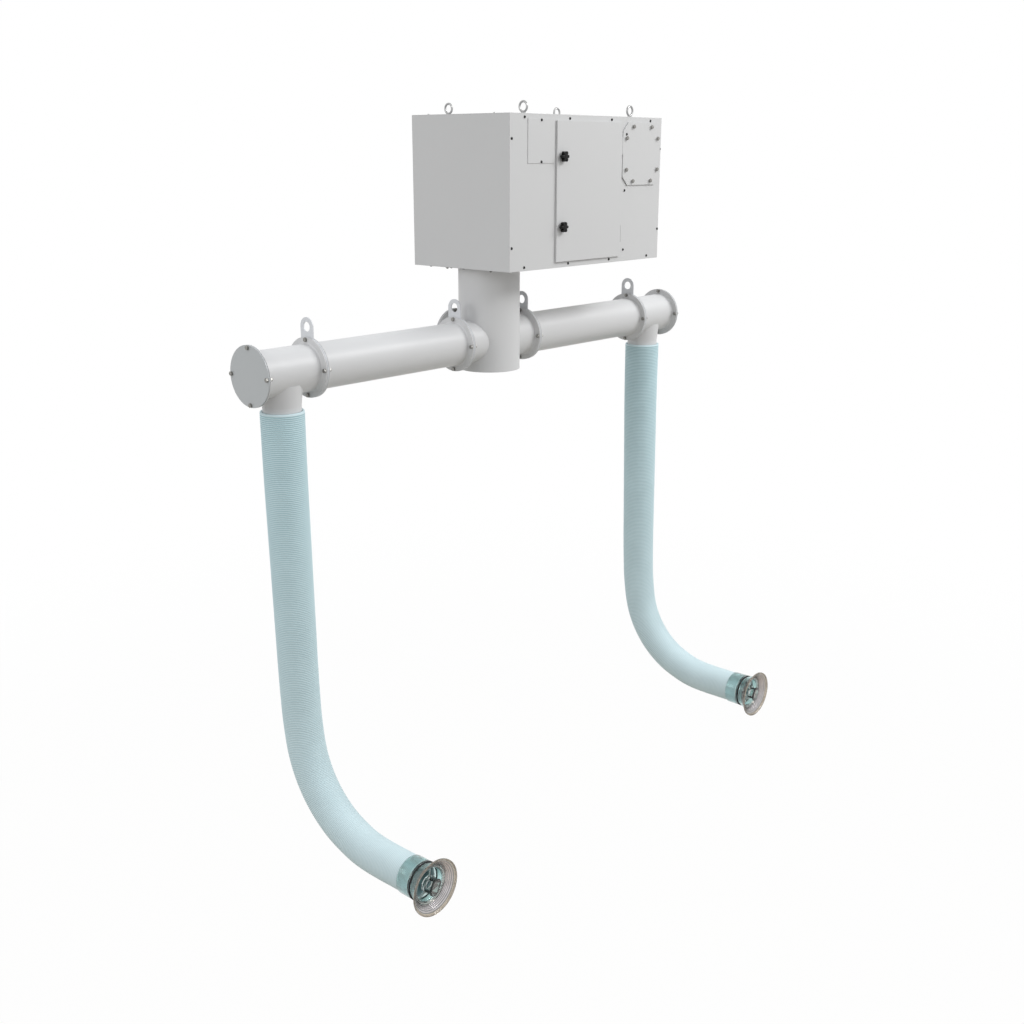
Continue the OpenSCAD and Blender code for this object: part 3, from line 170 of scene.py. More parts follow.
# Inset of the strap's outline at distances from its back and front face
GRIP_ROUNDING = [(3.4, 0.0), (1.7, 0.3), (0.5, 1.0), (0.0, 2.2)]
LEG_AT = 16.0
LEG_SIZE = (26.0, 5.0)
LEG_CORNER = 2.2
LEG_FOOT = 2.0
LEG_END = 4.0
LEG_INTO_GRIP = 0.6
# Places in the lists of materials of the hood, the guard and the outlet's bolts
FLARE_ZONE, LIP_ZONE, NECK_ZONE, RIPPLE_SHADE_ZONE = range(4)
SEAT_ZONE, GRIP_EDGE_SHADE_ZONE, HUB_ZONE = range(3)
BOLT_ZONE, WASHER_ZONE = range(2)

# Knob, in millimetres: distances are measured outward from the door
KNOB_SIDES = 144
KNOB_SHAFT_R = 5.0
KNOB_SHAFT_END = -10.8
KNOB_NECK_R = 7.5
KNOB_NECK_END = 0.3
KNOB_FOOT = 4.8
KNOB_TOP = 15.6
KNOB_CORE_R = 11.4
KNOB_LOBE_R = 4.6
KNOB_LOBES = 6
KNOB_HOLLOW = 0.84
KNOB_SHARP = 9.0
# Insets of the star above its foot and below its top, and radii of its ringed face
KNOB_BACK = [(1.4, 0.0), (0.5, 0.3), (0.0, 1.3)]
KNOB_FRONT = [(0.0, 3.2), (0.35, 2.0), (1.2, 1.0), (2.6, 0.3), (4.2, 0.0)]
KNOB_FACE = [(7.4, 0.0), (6.9, 0.5), (6.0, 0.6), (5.4, 0.1), (4.6, 0.0), (2.4, 0.0), (0.4, 0.0)]

# Eye bolts, in millimetres above the cabinet's top
EYE_SIDES = 48
EYE_WIRE_SIDES = 20
EYE_Z = 19.5
EYE_RING_R = 13.9
EYE_WIRE_D = 6.2
EYE_SHANK_R = 4.0
EYE_SHANK_L = 12.0
EYE_COLLAR_R = 7.0
EYE_COLLAR_H = 5.0
EYE_CORE_R = 0.2
EYE_EDGE = 0.7
EYE_SHEET = 1.5
EYE_NUT_AF = 13.0
EYE_NUT_H = 6.5
EYE_NUT_CHAMFER = 0.7
# Radii of the neck that joins the collar to the ring, by height above the collar
EYE_NECK = [(4.6, 0.4), (3.4, 3.0), (EYE_CORE_R, 3.4)]

# Bolts of the blanked outlet, in millimetres outward from its face
BOLT_SIDES = 24
OUTLET_BOLT_R = 3.0
OUTLET_BOLT_L = 14.0
OUTLET_BOLT_AF = 10.0
OUTLET_BOLT_H = 6.4
OUTLET_WASHER_R = 6.0
OUTLET_WASHER_T = 1.6
OUTLET_WASHER_EDGE = 0.3
WASHER_ROWS = range(1, 5)
# Insets of the head's corners, by distance below its top
OUTLET_BOLT_CHAMFER = [(0.0, 0.7), (0.8, 0.1), (1.2, 0.0)]

# Button-head screws, in millimetres outward from the sheet
SCREW_R = 2.0
SCREW_HEAD = [(3.9, 0.0), (4.0, 0.3), (3.85, 1.1), (3.3, 1.8), (2.6, 2.25), (2.0, 2.5)]
SCREW_HEAD_H = 2.5
SOCKET_AF = 3.0
SOCKET_DEPTH = 1.3
# A CAD screw's points farther out than this share of its radius belong to its head
HEAD_SHARE = 0.9


# Mesh helpers


def new_piece(name, verts, faces, materials, crease=None, zones=None):
    """A mesh object with its faces turned outward, smooth but for edges sharper than the crease.

    Zones give each face's place in the list of materials.
    """
    mesh = bpy.data.meshes.new(name)
    mesh.from_pydata([tuple(v) for v in verts], [], faces)
    for look in materials:
        mesh.materials.append(look)
    if zones:
        mesh.polygons.foreach_set("material_index", zones)
    shell = bmesh.new()
    shell.from_mesh(mesh)
    bmesh.ops.recalc_face_normals(shell, faces=shell.faces)
    shell.to_mesh(mesh)
    shell.free()
    mesh.polygons.foreach_set("use_smooth", [True] * len(mesh.polygons))
    if crease:
        mesh.set_sharp_from_angle(angle=math.radians(crease))
    piece = bpy.data.objects.new(name, mesh)
    bpy.context.scene.collection.objects.link(piece)
    return piece


def ring_faces(first, rings, sides, closed=False):
    """Quads between rings of points that follow one another."""
    faces = []
    for j in range(rings if closed else rings - 1):
        a = first + j * sides
        b = first + (j + 1) % rings * sides
        for k in range(sides):
            n = (k + 1) % sides
            faces.append((a + k, a + n, b + n, b + k))
    return faces


def facing_front(x0, y0, z0):
    """Place function for points given across, up and forward of a spot."""
    return lambda x, y, d: Vector((x0 + x * MM, y0 - d * MM, z0 + y * MM))


class Shells:
    """Points and faces of one or more closed shells, put in place by a place function."""

    def __init__(self, place=None, sides=96):
        self.place = place
        self.sides = sides
        self.verts = []
        self.faces = []
        self.zones = []

    def add(self, rings, closed, zone_of=None):
        """Rings of (x, y, d) points, joined in turn.

        An open stack gets flat end faces, which have the first material. The other faces have
        the zone that zone_of gives for their row.
        """
        first = len(self.verts)
        sides = len(rings[0])
        for ring in rings:
            self.verts += [self.place(*point) for point in ring]
        faces = ring_faces(first, len(rings), sides, closed)
        zones = [zone_of(i // sides) if zone_of else 0 for i in range(len(faces))]
        if not closed:
            last = first + (len(rings) - 1) * sides
            faces += [tuple(range(first, first + sides)), tuple(range(last, last + sides))]
            zones += [0, 0]
        self.faces += faces
        self.zones += zones

    def revolve(self, profile, zone_of=None):
        """A closed loop of (radius, distance) points turned about the axis."""
        rings = [[(x, y, d) for x, y in circle(r, self.sides)] for r, d in profile]
        self.add(rings, True, zone_of)

    def stack(self, sections, zone_of=None):
        """Outlines of (x, y) points, each at its own distance along the axis."""
        self.add([[(x, y, d) for x, y in outline] for outline, d in sections], False, zone_of)

    def piece(self, name, materials, crease=30):
        return new_piece(name, self.verts, self.faces, materials, crease, self.zones)


def circle(radius, sides):
    """Points of a circle round the origin."""
    turns = [2 * math.pi * k / sides for k in range(sides)]
    return [(radius * math.cos(a), radius * math.sin(a)) for a in turns]


def discs(rows, sides):
    """Sections for a stack from (radius, distance) rows."""
    return [(circle(r, sides), d) for r, d in rows]


def hexagon(across, sides, inset=0.0):
    """Hexagon by its width across the flats, its corners cut back by the inset."""
    out = []
    for k in range(sides):
        a = 2 * math.pi * k / sides
        off = (a + math.pi / 6) % (math.pi / 3) - math.pi / 6
        r = min(across / 2 / math.cos(off), across / math.sqrt(3) - inset)
        out.append((r * math.cos(a), r * math.sin(a)))
    return out


def rounded_outline(width, height, corner, inset=0.0, steps=6):
    """Rectangle round the origin with arcs at its corners, drawn in by the inset."""
    least_corner = 0.05
    corner = max(corner - inset, least_corner)
    out = []
    for quarter in range(4):
        sx = 1 if quarter in (0, 3) else -1
        sy = 1 if quarter < 2 else -1
        cx = sx * (width / 2 - inset - corner)
        cy = sy * (height / 2 - inset - corner)
        for k in range(steps + 1):
            a = math.pi / 2 * (quarter + k / steps)
            out.append((cx + corner * math.cos(a), cy + corner * math.sin(a)))
    return out


def turned(outline, degrees, shift=(0.0, 0.0)):
    """The outline moved by the shift and then turned about the origin."""
    a = math.radians(degrees)
    c, s = math.cos(a), math.sin(a)
    moved = [(x + shift[0], y + shift[1]) for x, y in outline]
    return [(x * c - y * s, x * s + y * c) for x, y in moved]


def soft_loop(points, radius, steps=3):
    """Closed loop of points whose corners are replaced by small curves."""
    edge_share = 0.45
    out = []
    count = len(points)
    for i in range(count):
        here = Vector(points[i])
        before = Vector(points[i - 1]) - here
        after = Vector(points[(i + 1) % count]) - here
        cut = min(radius, before.length * edge_share, after.length * edge_share)
        start = here + before.normalized() * cut
        end = here + after.normalized() * cut
        for k in range(steps + 1):
            t = k / steps
            out.append(tuple(start * (1 - t) ** 2 + here * 2 * t * (1 - t) + end * t**2))
    return out


def islands(node):
    """Lists of the points of each separate solid in a CAD node."""
    mesh = nodes[node].data
    group = list(range(len(mesh.vertices)))

    def root(i):
        while group[i] != i:
            group[i] = group[group[i]]
            i = group[i]
        return i

    by_place = {}
    for vertex in mesh.vertices:
        key = tuple(round(c, 6) for c in vertex.co)
        group[vertex.index] = by_place.setdefault(key, vertex.index)
    for edge in mesh.edges:
        a, b = (root(group[i]) for i in edge.vertices)
        group[b] = a
    out = {}
    for vertex in mesh.vertices:
        out.setdefault(root(vertex.index), []).append(vertex.co.copy())
    return list(out.values())


def corners(points):
    """Lowest and highest corner of the box round the points."""
    return [[pick(p[i] for p in points) for i in range(3)] for pick in (min, max)]


# Hoses


def spline(points, steps):
    """Catmull-Rom curve through the points, as a list with that many steps between two."""
    ends = [points[0] * 2 - points[1]] + points + [points[-1] * 2 - points[-2]]
    line = []
    for i in range(1, len(ends) - 2):
        a, b, c, d = ends[i - 1 : i + 3]
        for k in range(steps):
            t = k / steps
            line.append(
                0.5 * (2 * b + (c - a) * t + (2 * a - 5 * b + 4 * c - d) * t**2
                       + (3 * b - a - 3 * c + d) * t**3)
            )
    return line + [points[-1]]


def spaced(line, step):
    """Points along a line at equal distances near the step, with its two ends."""
    far = [0.0]
    for a, b in zip(line, line[1:]):
        far.append(far[-1] + (b - a).length)
    count = round(far[-1] / step)
    out = []
    j = 0
    for i in range(count + 1):
        s = far[-1] * i / count
        while j < len(far) - 2 and far[j + 1] < s:
            j += 1
        t = (s - far[j]) / (far[j + 1] - far[j])
        out.append(line[j].lerp(line[j + 1], t))
    return out


def hose(side, look):
    """Tube with round ribs outside, a plain bore and closed end faces.

    Returns it with its centre line and length. Its points carry two values for the look: a
    painted shade that is 1 on the crests and end faces, lower in the grooves and 0 in the bore,
    and along, which runs from 0 at the stub to 1 at the nozzle.
    """
    route = [Vector((ARMS[side], -f * MM, HOSE_TOP_Z - d * MM)) for f, d in HOSE_ROUTE]
    line = spaced(spline(route, ROUTE_STEPS), RIB_PITCH / RIB_RINGS)
    total = len(line) - 1
    across = Vector((1, 0, 0))
    verts, painted_groove_shade, along = [], [], []

    def crest_r(i):
        return HOSE_TOP_R + i / total * (HOSE_END_R - HOSE_TOP_R)

    def add_ring(i, radius, shade):
        ahead = (line[min(i + 1, total)] - line[max(i - 1, 0)]).normalized()
        up = across.cross(ahead)
        verts.extend(line[i] + radius * (x * across + y * up) for x, y in circle(1, HOSE_SIDES))
        painted_groove_shade.extend([shade] * HOSE_SIDES)
        along.extend([i / total] * HOSE_SIDES)

    for i in range(total + 1):
        share = i / total
        plain_end = min(i, total - i) < RIB_RINGS
        wave = 0.5 + 0.5 * math.cos(2 * math.pi * (i % RIB_RINGS) / RIB_RINGS)
        wave = min(1.0 if plain_end else wave, i / RIB_RINGS)
        rib_h = RIB_H * (1 - RIB_FADE * share)
        # Painted shade for the grooves: 1 on a crest and on the plain ends, lower in the groove
        # between two crests
        shade = SHADE_MIDDLE + (wave - SHADE_MIDDLE) * (1 - SHADE_FADE * share)
        add_ring(i, crest_r(i) - rib_h * (1 - wave), 1.0 if plain_end else shade)
    bore_rings = sorted({*range(total, -1, -BORE_EVERY), 0}, reverse=True)
    for i in bore_rings:
        bore_r = crest_r(i) - HOSE_WALL
        if i == 0:
            bore_r = STUB_R + MOUTH_GAP
        elif i < CUFF_RINGS:
            bore_r = max(bore_r, STUB_R + CUFF_GAP)
        # The bore gets the darkest painted shade, and its two end faces get none
        add_ring(i, bore_r, 1.0 if i in (0, total) else 0.0)

    faces = ring_faces(0, total + 1 + len(bore_rings), HOSE_SIDES, closed=True)
    piece = new_piece(f"hose_{side}_ribbed", verts, faces, [look])
    for label, values in (("painted_groove_shade", painted_groove_shade), ("along", along)):
        layer = piece.data.attributes.new(label, "FLOAT", "POINT")
        layer.data.foreach_set("value", values)
    length = sum((b - a).length for a, b in zip(line, line[1:]))
    return piece, line, length


# Nozzles


def nozzle_shells(side, sides=96):
    """Shells given across, up and forward of the sleeve's rear edge."""
    return Shells(facing_front(ARMS[side], NOZZLE_Y, NOZZLE_Z), sides)


def sleeve(side):
    """Clear sleeve over the hose's end with its shoulder, journal and snap bead."""
    shells = nozzle_shells(side)
    bore_r = JOURNAL_R - JOURNAL_WALL
    bead_d = CATCH_D + GAP
    shells.revolve(soft_loop([
        (SLEEVE_R - WALL, 0), (SLEEVE_R, 0), (SLEEVE_R, SHOULDER_D), (JOURNAL_R, SHOULDER_D),
        (JOURNAL_R, CATCH_D), (JOURNAL_R + CATCH_H, bead_d), (JOURNAL_R, bead_d + CATCH_W),
        (bore_r, bead_d + CATCH_W), (bore_r, SLEEVE_LAP), (SLEEVE_R - WALL, SLEEVE_LAP),
    ], SLEEVE_EDGE))
    return shells.piece(f"sleeve_{side}_moulded", [LOOKS["clear_sleeve"]])


def seal_ring(side):
    """Rubber ring with two lips, which the hood bears on."""
    shells = nozzle_shells(side)
    front = SHOULDER_D + RING_W
    lip_r = SLEEVE_R + GAP
    shells.revolve(soft_loop([
        (JOURNAL_R, SHOULDER_D), (lip_r, SHOULDER_D), (lip_r, SHOULDER_D + RING_LIP),
        (SLEEVE_R - RING_GROOVE, (SHOULDER_D + front) / 2), (lip_r, front - RING_LIP),
        (lip_r, front), (JOURNAL_R, front),
    ], RING_EDGE))
    return shells.piece(f"seal_ring_{side}_lipped", [LOOKS["black_rubber"]], crease=50)


def flare_r(t):
    """Outer radius of the hood at a share of its flare."""
    return STEP_R + (RIM_R - WALL - STEP_R) * t**FLARE_POWER


def ripple(t):
    """The moulded rings at a share of the flare: 1 on a crest and 0 between two."""
    return abs(math.sin(math.pi * RIPPLES * t))


def hood(side):
    """Clear trumpet: neck, step, flare with moulded rings inside, and a thick rolled lip."""
    shells = nozzle_shells(side, 128)
    flare_d0 = LEDGE_D + LEDGE_W
    lip_d0 = HOOD_D1 - LIP_W
    flare_l = lip_d0 - flare_d0
    neck_in = NECK_R - WALL / 2
    neck = soft_loop([
        (LEDGE_R, flare_d0), (LEDGE_R, LEDGE_D), (neck_in, LEDGE_D), (neck_in, CATCH_D - GAP),
        (JOURNAL_R + RUN_GAP, CATCH_D - GAP), (JOURNAL_R + RUN_GAP, HOOD_D0), (NECK_R, HOOD_D0),
        (NECK_R, HOOD_D0 + NECK_L), (STEP_R, HOOD_D0 + NECK_L + WALL), (STEP_R, flare_d0),
    ], HOOD_EDGE)
    shares = [i / FLARE_STEPS for i in range(FLARE_STEPS + 1)]
    outside = [(flare_r(t), flare_d0 + t * flare_l) for t in shares[1:-1]]

    def roll(middle_d, height, degrees):
        return [(RIM_R - WALL / 2 + math.cos(a) * WALL / 2, middle_d + math.sin(a) * height)
                for a in map(math.radians, degrees)]

    lip = [(flare_r(1), lip_d0)]
    lip += roll(lip_d0 + LIP_BACK_ROLL, LIP_BACK_ROLL, range(-90, 1, 15))
    lip += roll(HOOD_D1 - LIP_FRONT_ROLL, LIP_FRONT_ROLL, range(0, 181, 15))
    inside = []
    for t in reversed(shares[1:]):
        ring_h = RIPPLE_H * min(1.0, 4 * (1 - t), 4 * t) * ripple(t) ** 3
        inside.append((flare_r(t) - WALL - ring_h, flare_d0 + t * flare_l))
    profile = neck + outside + lip + inside
    lip_from = len(neck) + round(LIP_LOOK_FROM * len(outside)) - 1
    inside_from = len(profile) - len(inside)
    lip_to = inside_from + round(LIP_LOOK_TO * len(inside))

    def zone_of(row):
        if row < len(neck) - 2:
            return NECK_ZONE
        if row < lip_from:
            return FLARE_ZONE
        if row < lip_to:
            return LIP_ZONE
        on_crest = ripple(1 - (row - inside_from) / FLARE_STEPS) > RIPPLE_CREST
        return RIPPLE_SHADE_ZONE if on_crest else FLARE_ZONE

    shells.revolve(profile, zone_of)
    looks = ("clear_plastic", "clear_lip", "clear_sleeve", "clear_ring")
    return shells.piece(f"hood_{side}_trumpet", [LOOKS[look] for look in looks])


def guard(side):
    """Clear guard: seat ring, three spokes, hub, and the strap to turn the hood by."""
    shells = nozzle_shells(side)
    front = LEDGE_D + GUARD_T
    seat_r = LEDGE_R - RUN_GAP
    shells.revolve(soft_loop([
        (JOURNAL_R, LEDGE_D), (seat_r, LEDGE_D), (seat_r, front), (JOURNAL_R, front),
    ], HOOD_EDGE), lambda row: SEAT_ZONE)
    back = LEDGE_D - HUB_BACK
    shells.revolve(soft_loop([
        (HUB_HOLE_R, back), (HUB_R, back), (HUB_R, front), (HUB_HOLE_R, front),
    ], HUB_EDGE), lambda row: HUB_ZONE)
    section = rounded_outline(SPOKE_W, GUARD_T, SPOKE_CORNER, steps=4)
    reach = JOURNAL_R - HUB_R + 2 * SPOKE_SINK
    for angle in SPOKE_ANGLES:
        rings = []
        for k in range(SPOKE_STEPS + 1):
            far = HUB_R - SPOKE_SINK + reach * k / SPOKE_STEPS
            rings.append([
                (*turned([(far, across)], angle)[0], LEDGE_D + GUARD_T / 2 + deep)
                for across, deep in section
            ])
        shells.add(rings, False, lambda row: HUB_ZONE)
    top = HOOD_D1 - GAP
    under = top - GRIP_T
    leg = rounded_outline(*LEG_SIZE, LEG_CORNER, steps=4)
    leg_ds = (front - LEG_FOOT, front + LEG_END, under - LEG_END, under + LEG_INTO_GRIP)
    for end in (-1, 1):
        outline = turned(leg, GRIP_TILT, (0, end * LEG_AT))
        shells.stack([(outline, d) for d in leg_ds], lambda row: GRIP_EDGE_SHADE_ZONE)
    rise = [(inset, under + d) for inset, d in GRIP_ROUNDING]
    rise += [(inset, top - d) for inset, d in reversed(GRIP_ROUNDING)]
    shells.stack([
        (turned(rounded_outline(*GRIP_SIZE, GRIP_CORNER, inset, steps=10), GRIP_TILT), d)
        for inset, d in rise
    ], lambda row: GRIP_EDGE_SHADE_ZONE)
    # The strap's and legs' side walls take a near-black look: painted shade that draws their
    # outlines dark in the clear moulding
    looks = ("clear_guard", "clear_guard_edge", "clear_hub")
    return shells.piece(f"guard_{side}_moulded", [LOOKS[look] for look in looks])


# Knobs and fasteners


def star_outline(inset):
    """Outline of the star knob, with soft hollows between its lobes, drawn in by the inset."""
    step = 2 * math.pi / KNOB_LOBES
    hollow = (KNOB_HOLLOW * KNOB_CORE_R)**KNOB_SHARP
    out = []
    for k in range(KNOB_SIDES):
        a = 2 * math.pi * k / KNOB_SIDES
        off = (a + step / 2) % step - step / 2
        rest = KNOB_LOBE_R**2 - (KNOB_CORE_R * math.sin(off)) ** 2
        lobe = KNOB_CORE_R * math.cos(off) + math.sqrt(rest) if rest > 0 else 0.0
        soft = (hollow + lobe**KNOB_SHARP) ** (1 / KNOB_SHARP)
        r = min(soft, KNOB_CORE_R + KNOB_LOBE_R) - inset
        out.append((r * math.cos(a), r * math.sin(a)))
    return out


def star_knob(level):
    """Moulded star knob with rounded lobes and a ringed face, on its steel shaft."""
    sections = discs([
        (KNOB_SHAFT_R, KNOB_SHAFT_END), (KNOB_SHAFT_R, KNOB_NECK_END),
        (KNOB_NECK_R, KNOB_NECK_END), (KNOB_NECK_R, KNOB_FOOT),
    ], KNOB_SIDES)
    sections += [(star_outline(inset), KNOB_FOOT + d) for inset, d in KNOB_BACK]
    sections += [(star_outline(inset), KNOB_TOP - d) for inset, d in KNOB_FRONT]
    sections += discs([(r, KNOB_TOP - d) for r, d in KNOB_FACE], KNOB_SIDES)
    shells = Shells(facing_front(KNOB_X, DOOR_Y, KNOB_ZS[level]))
    shells.stack(sections)
    return shells.piece(f"knob_{level}_star", [LOOKS["black_knob"]])


def eye_bolts():
    """Forged eye bolts: a ring that grows out of its collar, with the nut under the sheet.

    The rings on the left stand along Y, those on the right along X.
    """
    shells = Shells(sides=EYE_SIDES)
    ring = [(EYE_RING_R + x, y) for x, y in circle(EYE_WIRE_D / 2, EYE_WIRE_SIDES)]
    collar = soft_loop([
        (EYE_CORE_R, -EYE_SHANK_L), (EYE_SHANK_R, -EYE_SHANK_L), (EYE_SHANK_R, 0.0),
        (EYE_COLLAR_R, 0.0), (EYE_COLLAR_R, EYE_COLLAR_H - 1.0),
        *((r, EYE_COLLAR_H + d) for r, d in EYE_NECK),
    ], EYE_EDGE)
    nut = [
        (hexagon(EYE_NUT_AF, EYE_SIDES, inset), -EYE_SHEET - d) for inset, d in (
            (EYE_NUT_CHAMFER, 0.0), (0.0, EYE_NUT_CHAMFER),
            (0.0, EYE_NUT_H - EYE_NUT_CHAMFER), (EYE_NUT_CHAMFER, EYE_NUT_H),
        )
    ]
    for points in islands("eye_bolts"):
        low, high = corners(points)
        cx, cy = (low[0] + high[0]) / 2, (low[1] + high[1]) / 2

        def standing(x, y, d, cx=cx, cy=cy):
            flat, deep = (d, x) if cx < 0 else (x, d)
            return Vector((cx + flat * MM, cy + deep * MM, EYE_Z * MM + y * MM))

        def upright(x, y, d, cx=cx, cy=cy):
            return Vector((cx + x * MM, cy + y * MM, d * MM))

        shells.place = standing
        shells.revolve(ring)
        shells.place = upright
        shells.revolve(collar)
        shells.stack(nut)
    return shells.piece("eye_bolts_forged", [LOOKS["eye_bolt_zinc"]])


def outlet_bolts():
    """Hexagon bolts with pale washers, each where its CAD solid is."""
    sections = discs([
        (OUTLET_BOLT_R, -OUTLET_BOLT_L), (OUTLET_BOLT_R, 0.0), (OUTLET_WASHER_R, 0.0),
        (OUTLET_WASHER_R, OUTLET_WASHER_T - OUTLET_WASHER_EDGE),
        (OUTLET_WASHER_R - OUTLET_WASHER_EDGE, OUTLET_WASHER_T),
    ], BOLT_SIDES)
    head = [(0.0, OUTLET_WASHER_T)]
    head += [(inset, OUTLET_BOLT_H - d) for inset, d in OUTLET_BOLT_CHAMFER]
    sections += [(hexagon(OUTLET_BOLT_AF, BOLT_SIDES, inset), d) for inset, d in head]
    shells = Shells()
    for points in islands("outlet_bolts"):
        low, high = corners(points)
        face = low[1] + OUTLET_BOLT_H * MM
        shells.place = facing_front((low[0] + high[0]) / 2, face, (low[2] + high[2]) / 2)
        shells.stack(sections, lambda row: WASHER_ZONE if row in WASHER_ROWS else BOLT_ZONE)
    return shells.piece("outlet_bolts_hexed", [LOOKS["zinc_plated"], LOOKS["pale_screw"]])


def screws():
    """Button-head screws, each where its CAD solid is: pale on the cabinet's top, else dark."""
    dark, pale = [], []
    for points in islands("panel_screws"):
        low, high = map(Vector, corners(points))
        size = high - low
        centre = (low + high) / 2
        axis = max(range(3), key=lambda i: size[i])
        across = [i for i in range(3) if i != axis]
        radius = max(size[i] for i in across) / 2
        head = [p[axis] for p in points
                if math.hypot(*(p[i] - centre[i] for i in across)) > HEAD_SHARE * radius]
        outward = 1 if sum(head) / len(head) > centre[axis] else -1
        under = centre.copy()
        under[axis] = min(head) if outward > 0 else max(head)
        on_top = axis == 2 and outward > 0
        (pale if on_top else dark).append((under, axis, outward, size[axis] / MM))
    return [
        screw_set("panel_screws_dark", dark, LOOKS["black_screw"]),
        screw_set("panel_screws_pale", pale, LOOKS["pale_screw"]),
    ]


def screw_set(name, spots, look):
    """Screws with a hexagon socket, from the places under their heads."""
    shells = Shells()
    socket = hexagon(SOCKET_AF, BOLT_SIDES)
    for under, axis, outward, length in spots:

        def place(x, y, d, under=under, axis=axis, outward=outward):
            local = [x, y]
            local.insert(axis, d * outward)
            return under + Vector(local) * MM

        shells.place = place
        rows = [(SCREW_R, SCREW_HEAD_H - length), (SCREW_R, 0.0), *SCREW_HEAD]
        hole = [(socket, SCREW_HEAD_H), (socket, SCREW_HEAD_H - SOCKET_DEPTH)]
        shells.stack(discs(rows, BOLT_SIDES) + hole)
    return shells.piece(name, [look])


# Materials


def material(name, colour, roughness, **sockets):
    """A Principled material; returns it with its node tree and shader."""
    made = bpy.data.materials.new(name)
    made.use_nodes = True
    tree = made.node_tree
    shader = tree.nodes["Principled BSDF"]
    shader.inputs["Base Color"].default_value = (*colour, 1)
    shader.inputs["Roughness"].default_value = roughness
    for socket, value in sockets.items():
        shader.inputs[socket.replace("_", " ")].default_value = value
    return made, tree, shader


def add(tree, kind, **values):
    """A node of that kind, with its properties and inputs set by name."""
    node = tree.nodes.new(kind)
    for name, value in values.items():
        if name in node.inputs:
            node.inputs[name].default_value = value
        elif name.replace("_", " ") in node.inputs:
            node.inputs[name.replace("_", " ")].default_value = value
        else:
            setattr(node, name, value)
    return node


def noise(tree, scale, detail=3.0, rough=0.5, stretch=None):
    """Noise over the object's own coordinates, in metres."""
    source = add(tree, "ShaderNodeTexCoord").outputs["Object"]
    texture = add(tree, "ShaderNodeTexNoise", Scale=scale, Detail=detail, Roughness=rough)
    if stretch:
        mapping = add(tree, "ShaderNodeMapping", Scale=stretch)
        tree.links.new(source, mapping.inputs["Vector"])
        source = mapping.outputs["Vector"]
    tree.links.new(source, texture.inputs["Vector"])
    return texture.outputs["Fac"]


def ramp(tree, source, stops):
    """Colour ramp fed by a value; stops are (position, colour) pairs."""
    node = add(tree, "ShaderNodeValToRGB")
    elements = node.color_ramp.elements
    while len(elements) < len(stops):
        elements.new(0.5)
    for element, (place, colour) in zip(elements, stops):
        element.position = place
        element.color = (*colour, 1)
    tree.links.new(source, node.inputs["Fac"])
    return node.outputs["Color"]


def remap(tree, source, low, high, **values):
    """A value taken from low..high to 0..1, or to the ends given by name."""
    node = add(tree, "ShaderNodeMapRange", From_Min=low, From_Max=high, **values)
    tree.links.new(source, node.inputs["Value"])
    return node.outputs["Result"]


def times(tree, one, other):
    """Product of two colours."""
    node = add(tree, "ShaderNodeMix", data_type="RGBA", blend_type="MULTIPLY")
    node.inputs["Factor"].default_value = 1.0
    tree.links.new(one, node.inputs["A"])
    tree.links.new(other, node.inputs["B"])
    return node.outputs["Result"]


def height_of(tree, source):
    """The Z of a vector."""
    split = add(tree, "ShaderNodeSeparateXYZ")
    tree.links.new(source, split.inputs[0])
    return split.outputs["Z"]


def bump(tree, shader, source, strength, height, rounding=0.0):
    """Bump on the shader's normal, over edges rounded by a small radius."""
    node = add(tree, "ShaderNodeBump", Strength=strength, Distance=height)
    tree.links.new(source, node.inputs["Height"])
    if rounding:
        edge = add(tree, "ShaderNodeBevel", samples=4, Radius=rounding)
        tree.links.new(edge.outputs["Normal"], node.inputs["Normal"])
    tree.links.new(node.outputs["Normal"], shader.inputs["Normal"])


def mottled(tree, shader, colour, scale, amount):
    """Makes a colour a little uneven, lighter and deeper by the amount."""
    stops = [
        (place, tuple(min(1.0, c * factor) for c in colour))
        for place, factor in ((0.35, 1 - amount), (0.65, 1 + amount))
    ]
    cloudy = ramp(tree, noise(tree, scale, detail=4.0), stops)
    tree.links.new(cloudy, shader.inputs["Base Color"])


def uneven_gloss(tree, shader, source, low, high):
    """Lets the roughness follow a noise, whose values lie mostly between 0.3 and 0.7."""
    rough = remap(tree, source, 0.3, 0.7, To_Min=low, To_Max=high)
    tree.links.new(rough, shader.inputs["Roughness"])


def powder_coat(name, colour, roughness, peel=0.25):
    """Sprayed and baked paint: fine orange peel, faint mottle and rounded sheet edges."""
    made, tree, shader = material(name, colour, roughness, Specular_IOR_Level=0.5)
    mottled(tree, shader, colour, scale=3.0, amount=0.006)
    uneven_gloss(tree, shader, noise(tree, 60.0), roughness - 0.02, roughness + 0.02)
    bump(tree, shader, noise(tree, 650.0, detail=2.0), peel, height=0.00012, rounding=0.0008)
    return made


def plated(name, colour, roughness):
    """Plated or galvanised steel with small clouds of duller metal."""
    made, tree, shader = material(name, colour, roughness, Metallic=1.0)
    mottled(tree, shader, colour, scale=90.0, amount=0.06)
    clouds = noise(tree, 140.0, detail=4.0, rough=0.6)
    uneven_gloss(tree, shader, clouds, roughness - 0.08, roughness + 0.14)
    bump(tree, shader, noise(tree, 900.0, detail=2.0), 0.15, height=0.0001, rounding=0.0003)
    return made


def rubber(name, colour, roughness=0.75, specular=0.3):
    """Matt rubber or moulded plastic with a fine grain."""
    made, tree, shader = material(name, colour, roughness, Specular_IOR_Level=specular)
    mottled(tree, shader, colour, scale=60.0, amount=0.15)
    bump(tree, shader, noise(tree, 1500.0, detail=2.0), 0.3, height=0.0001)
    return made


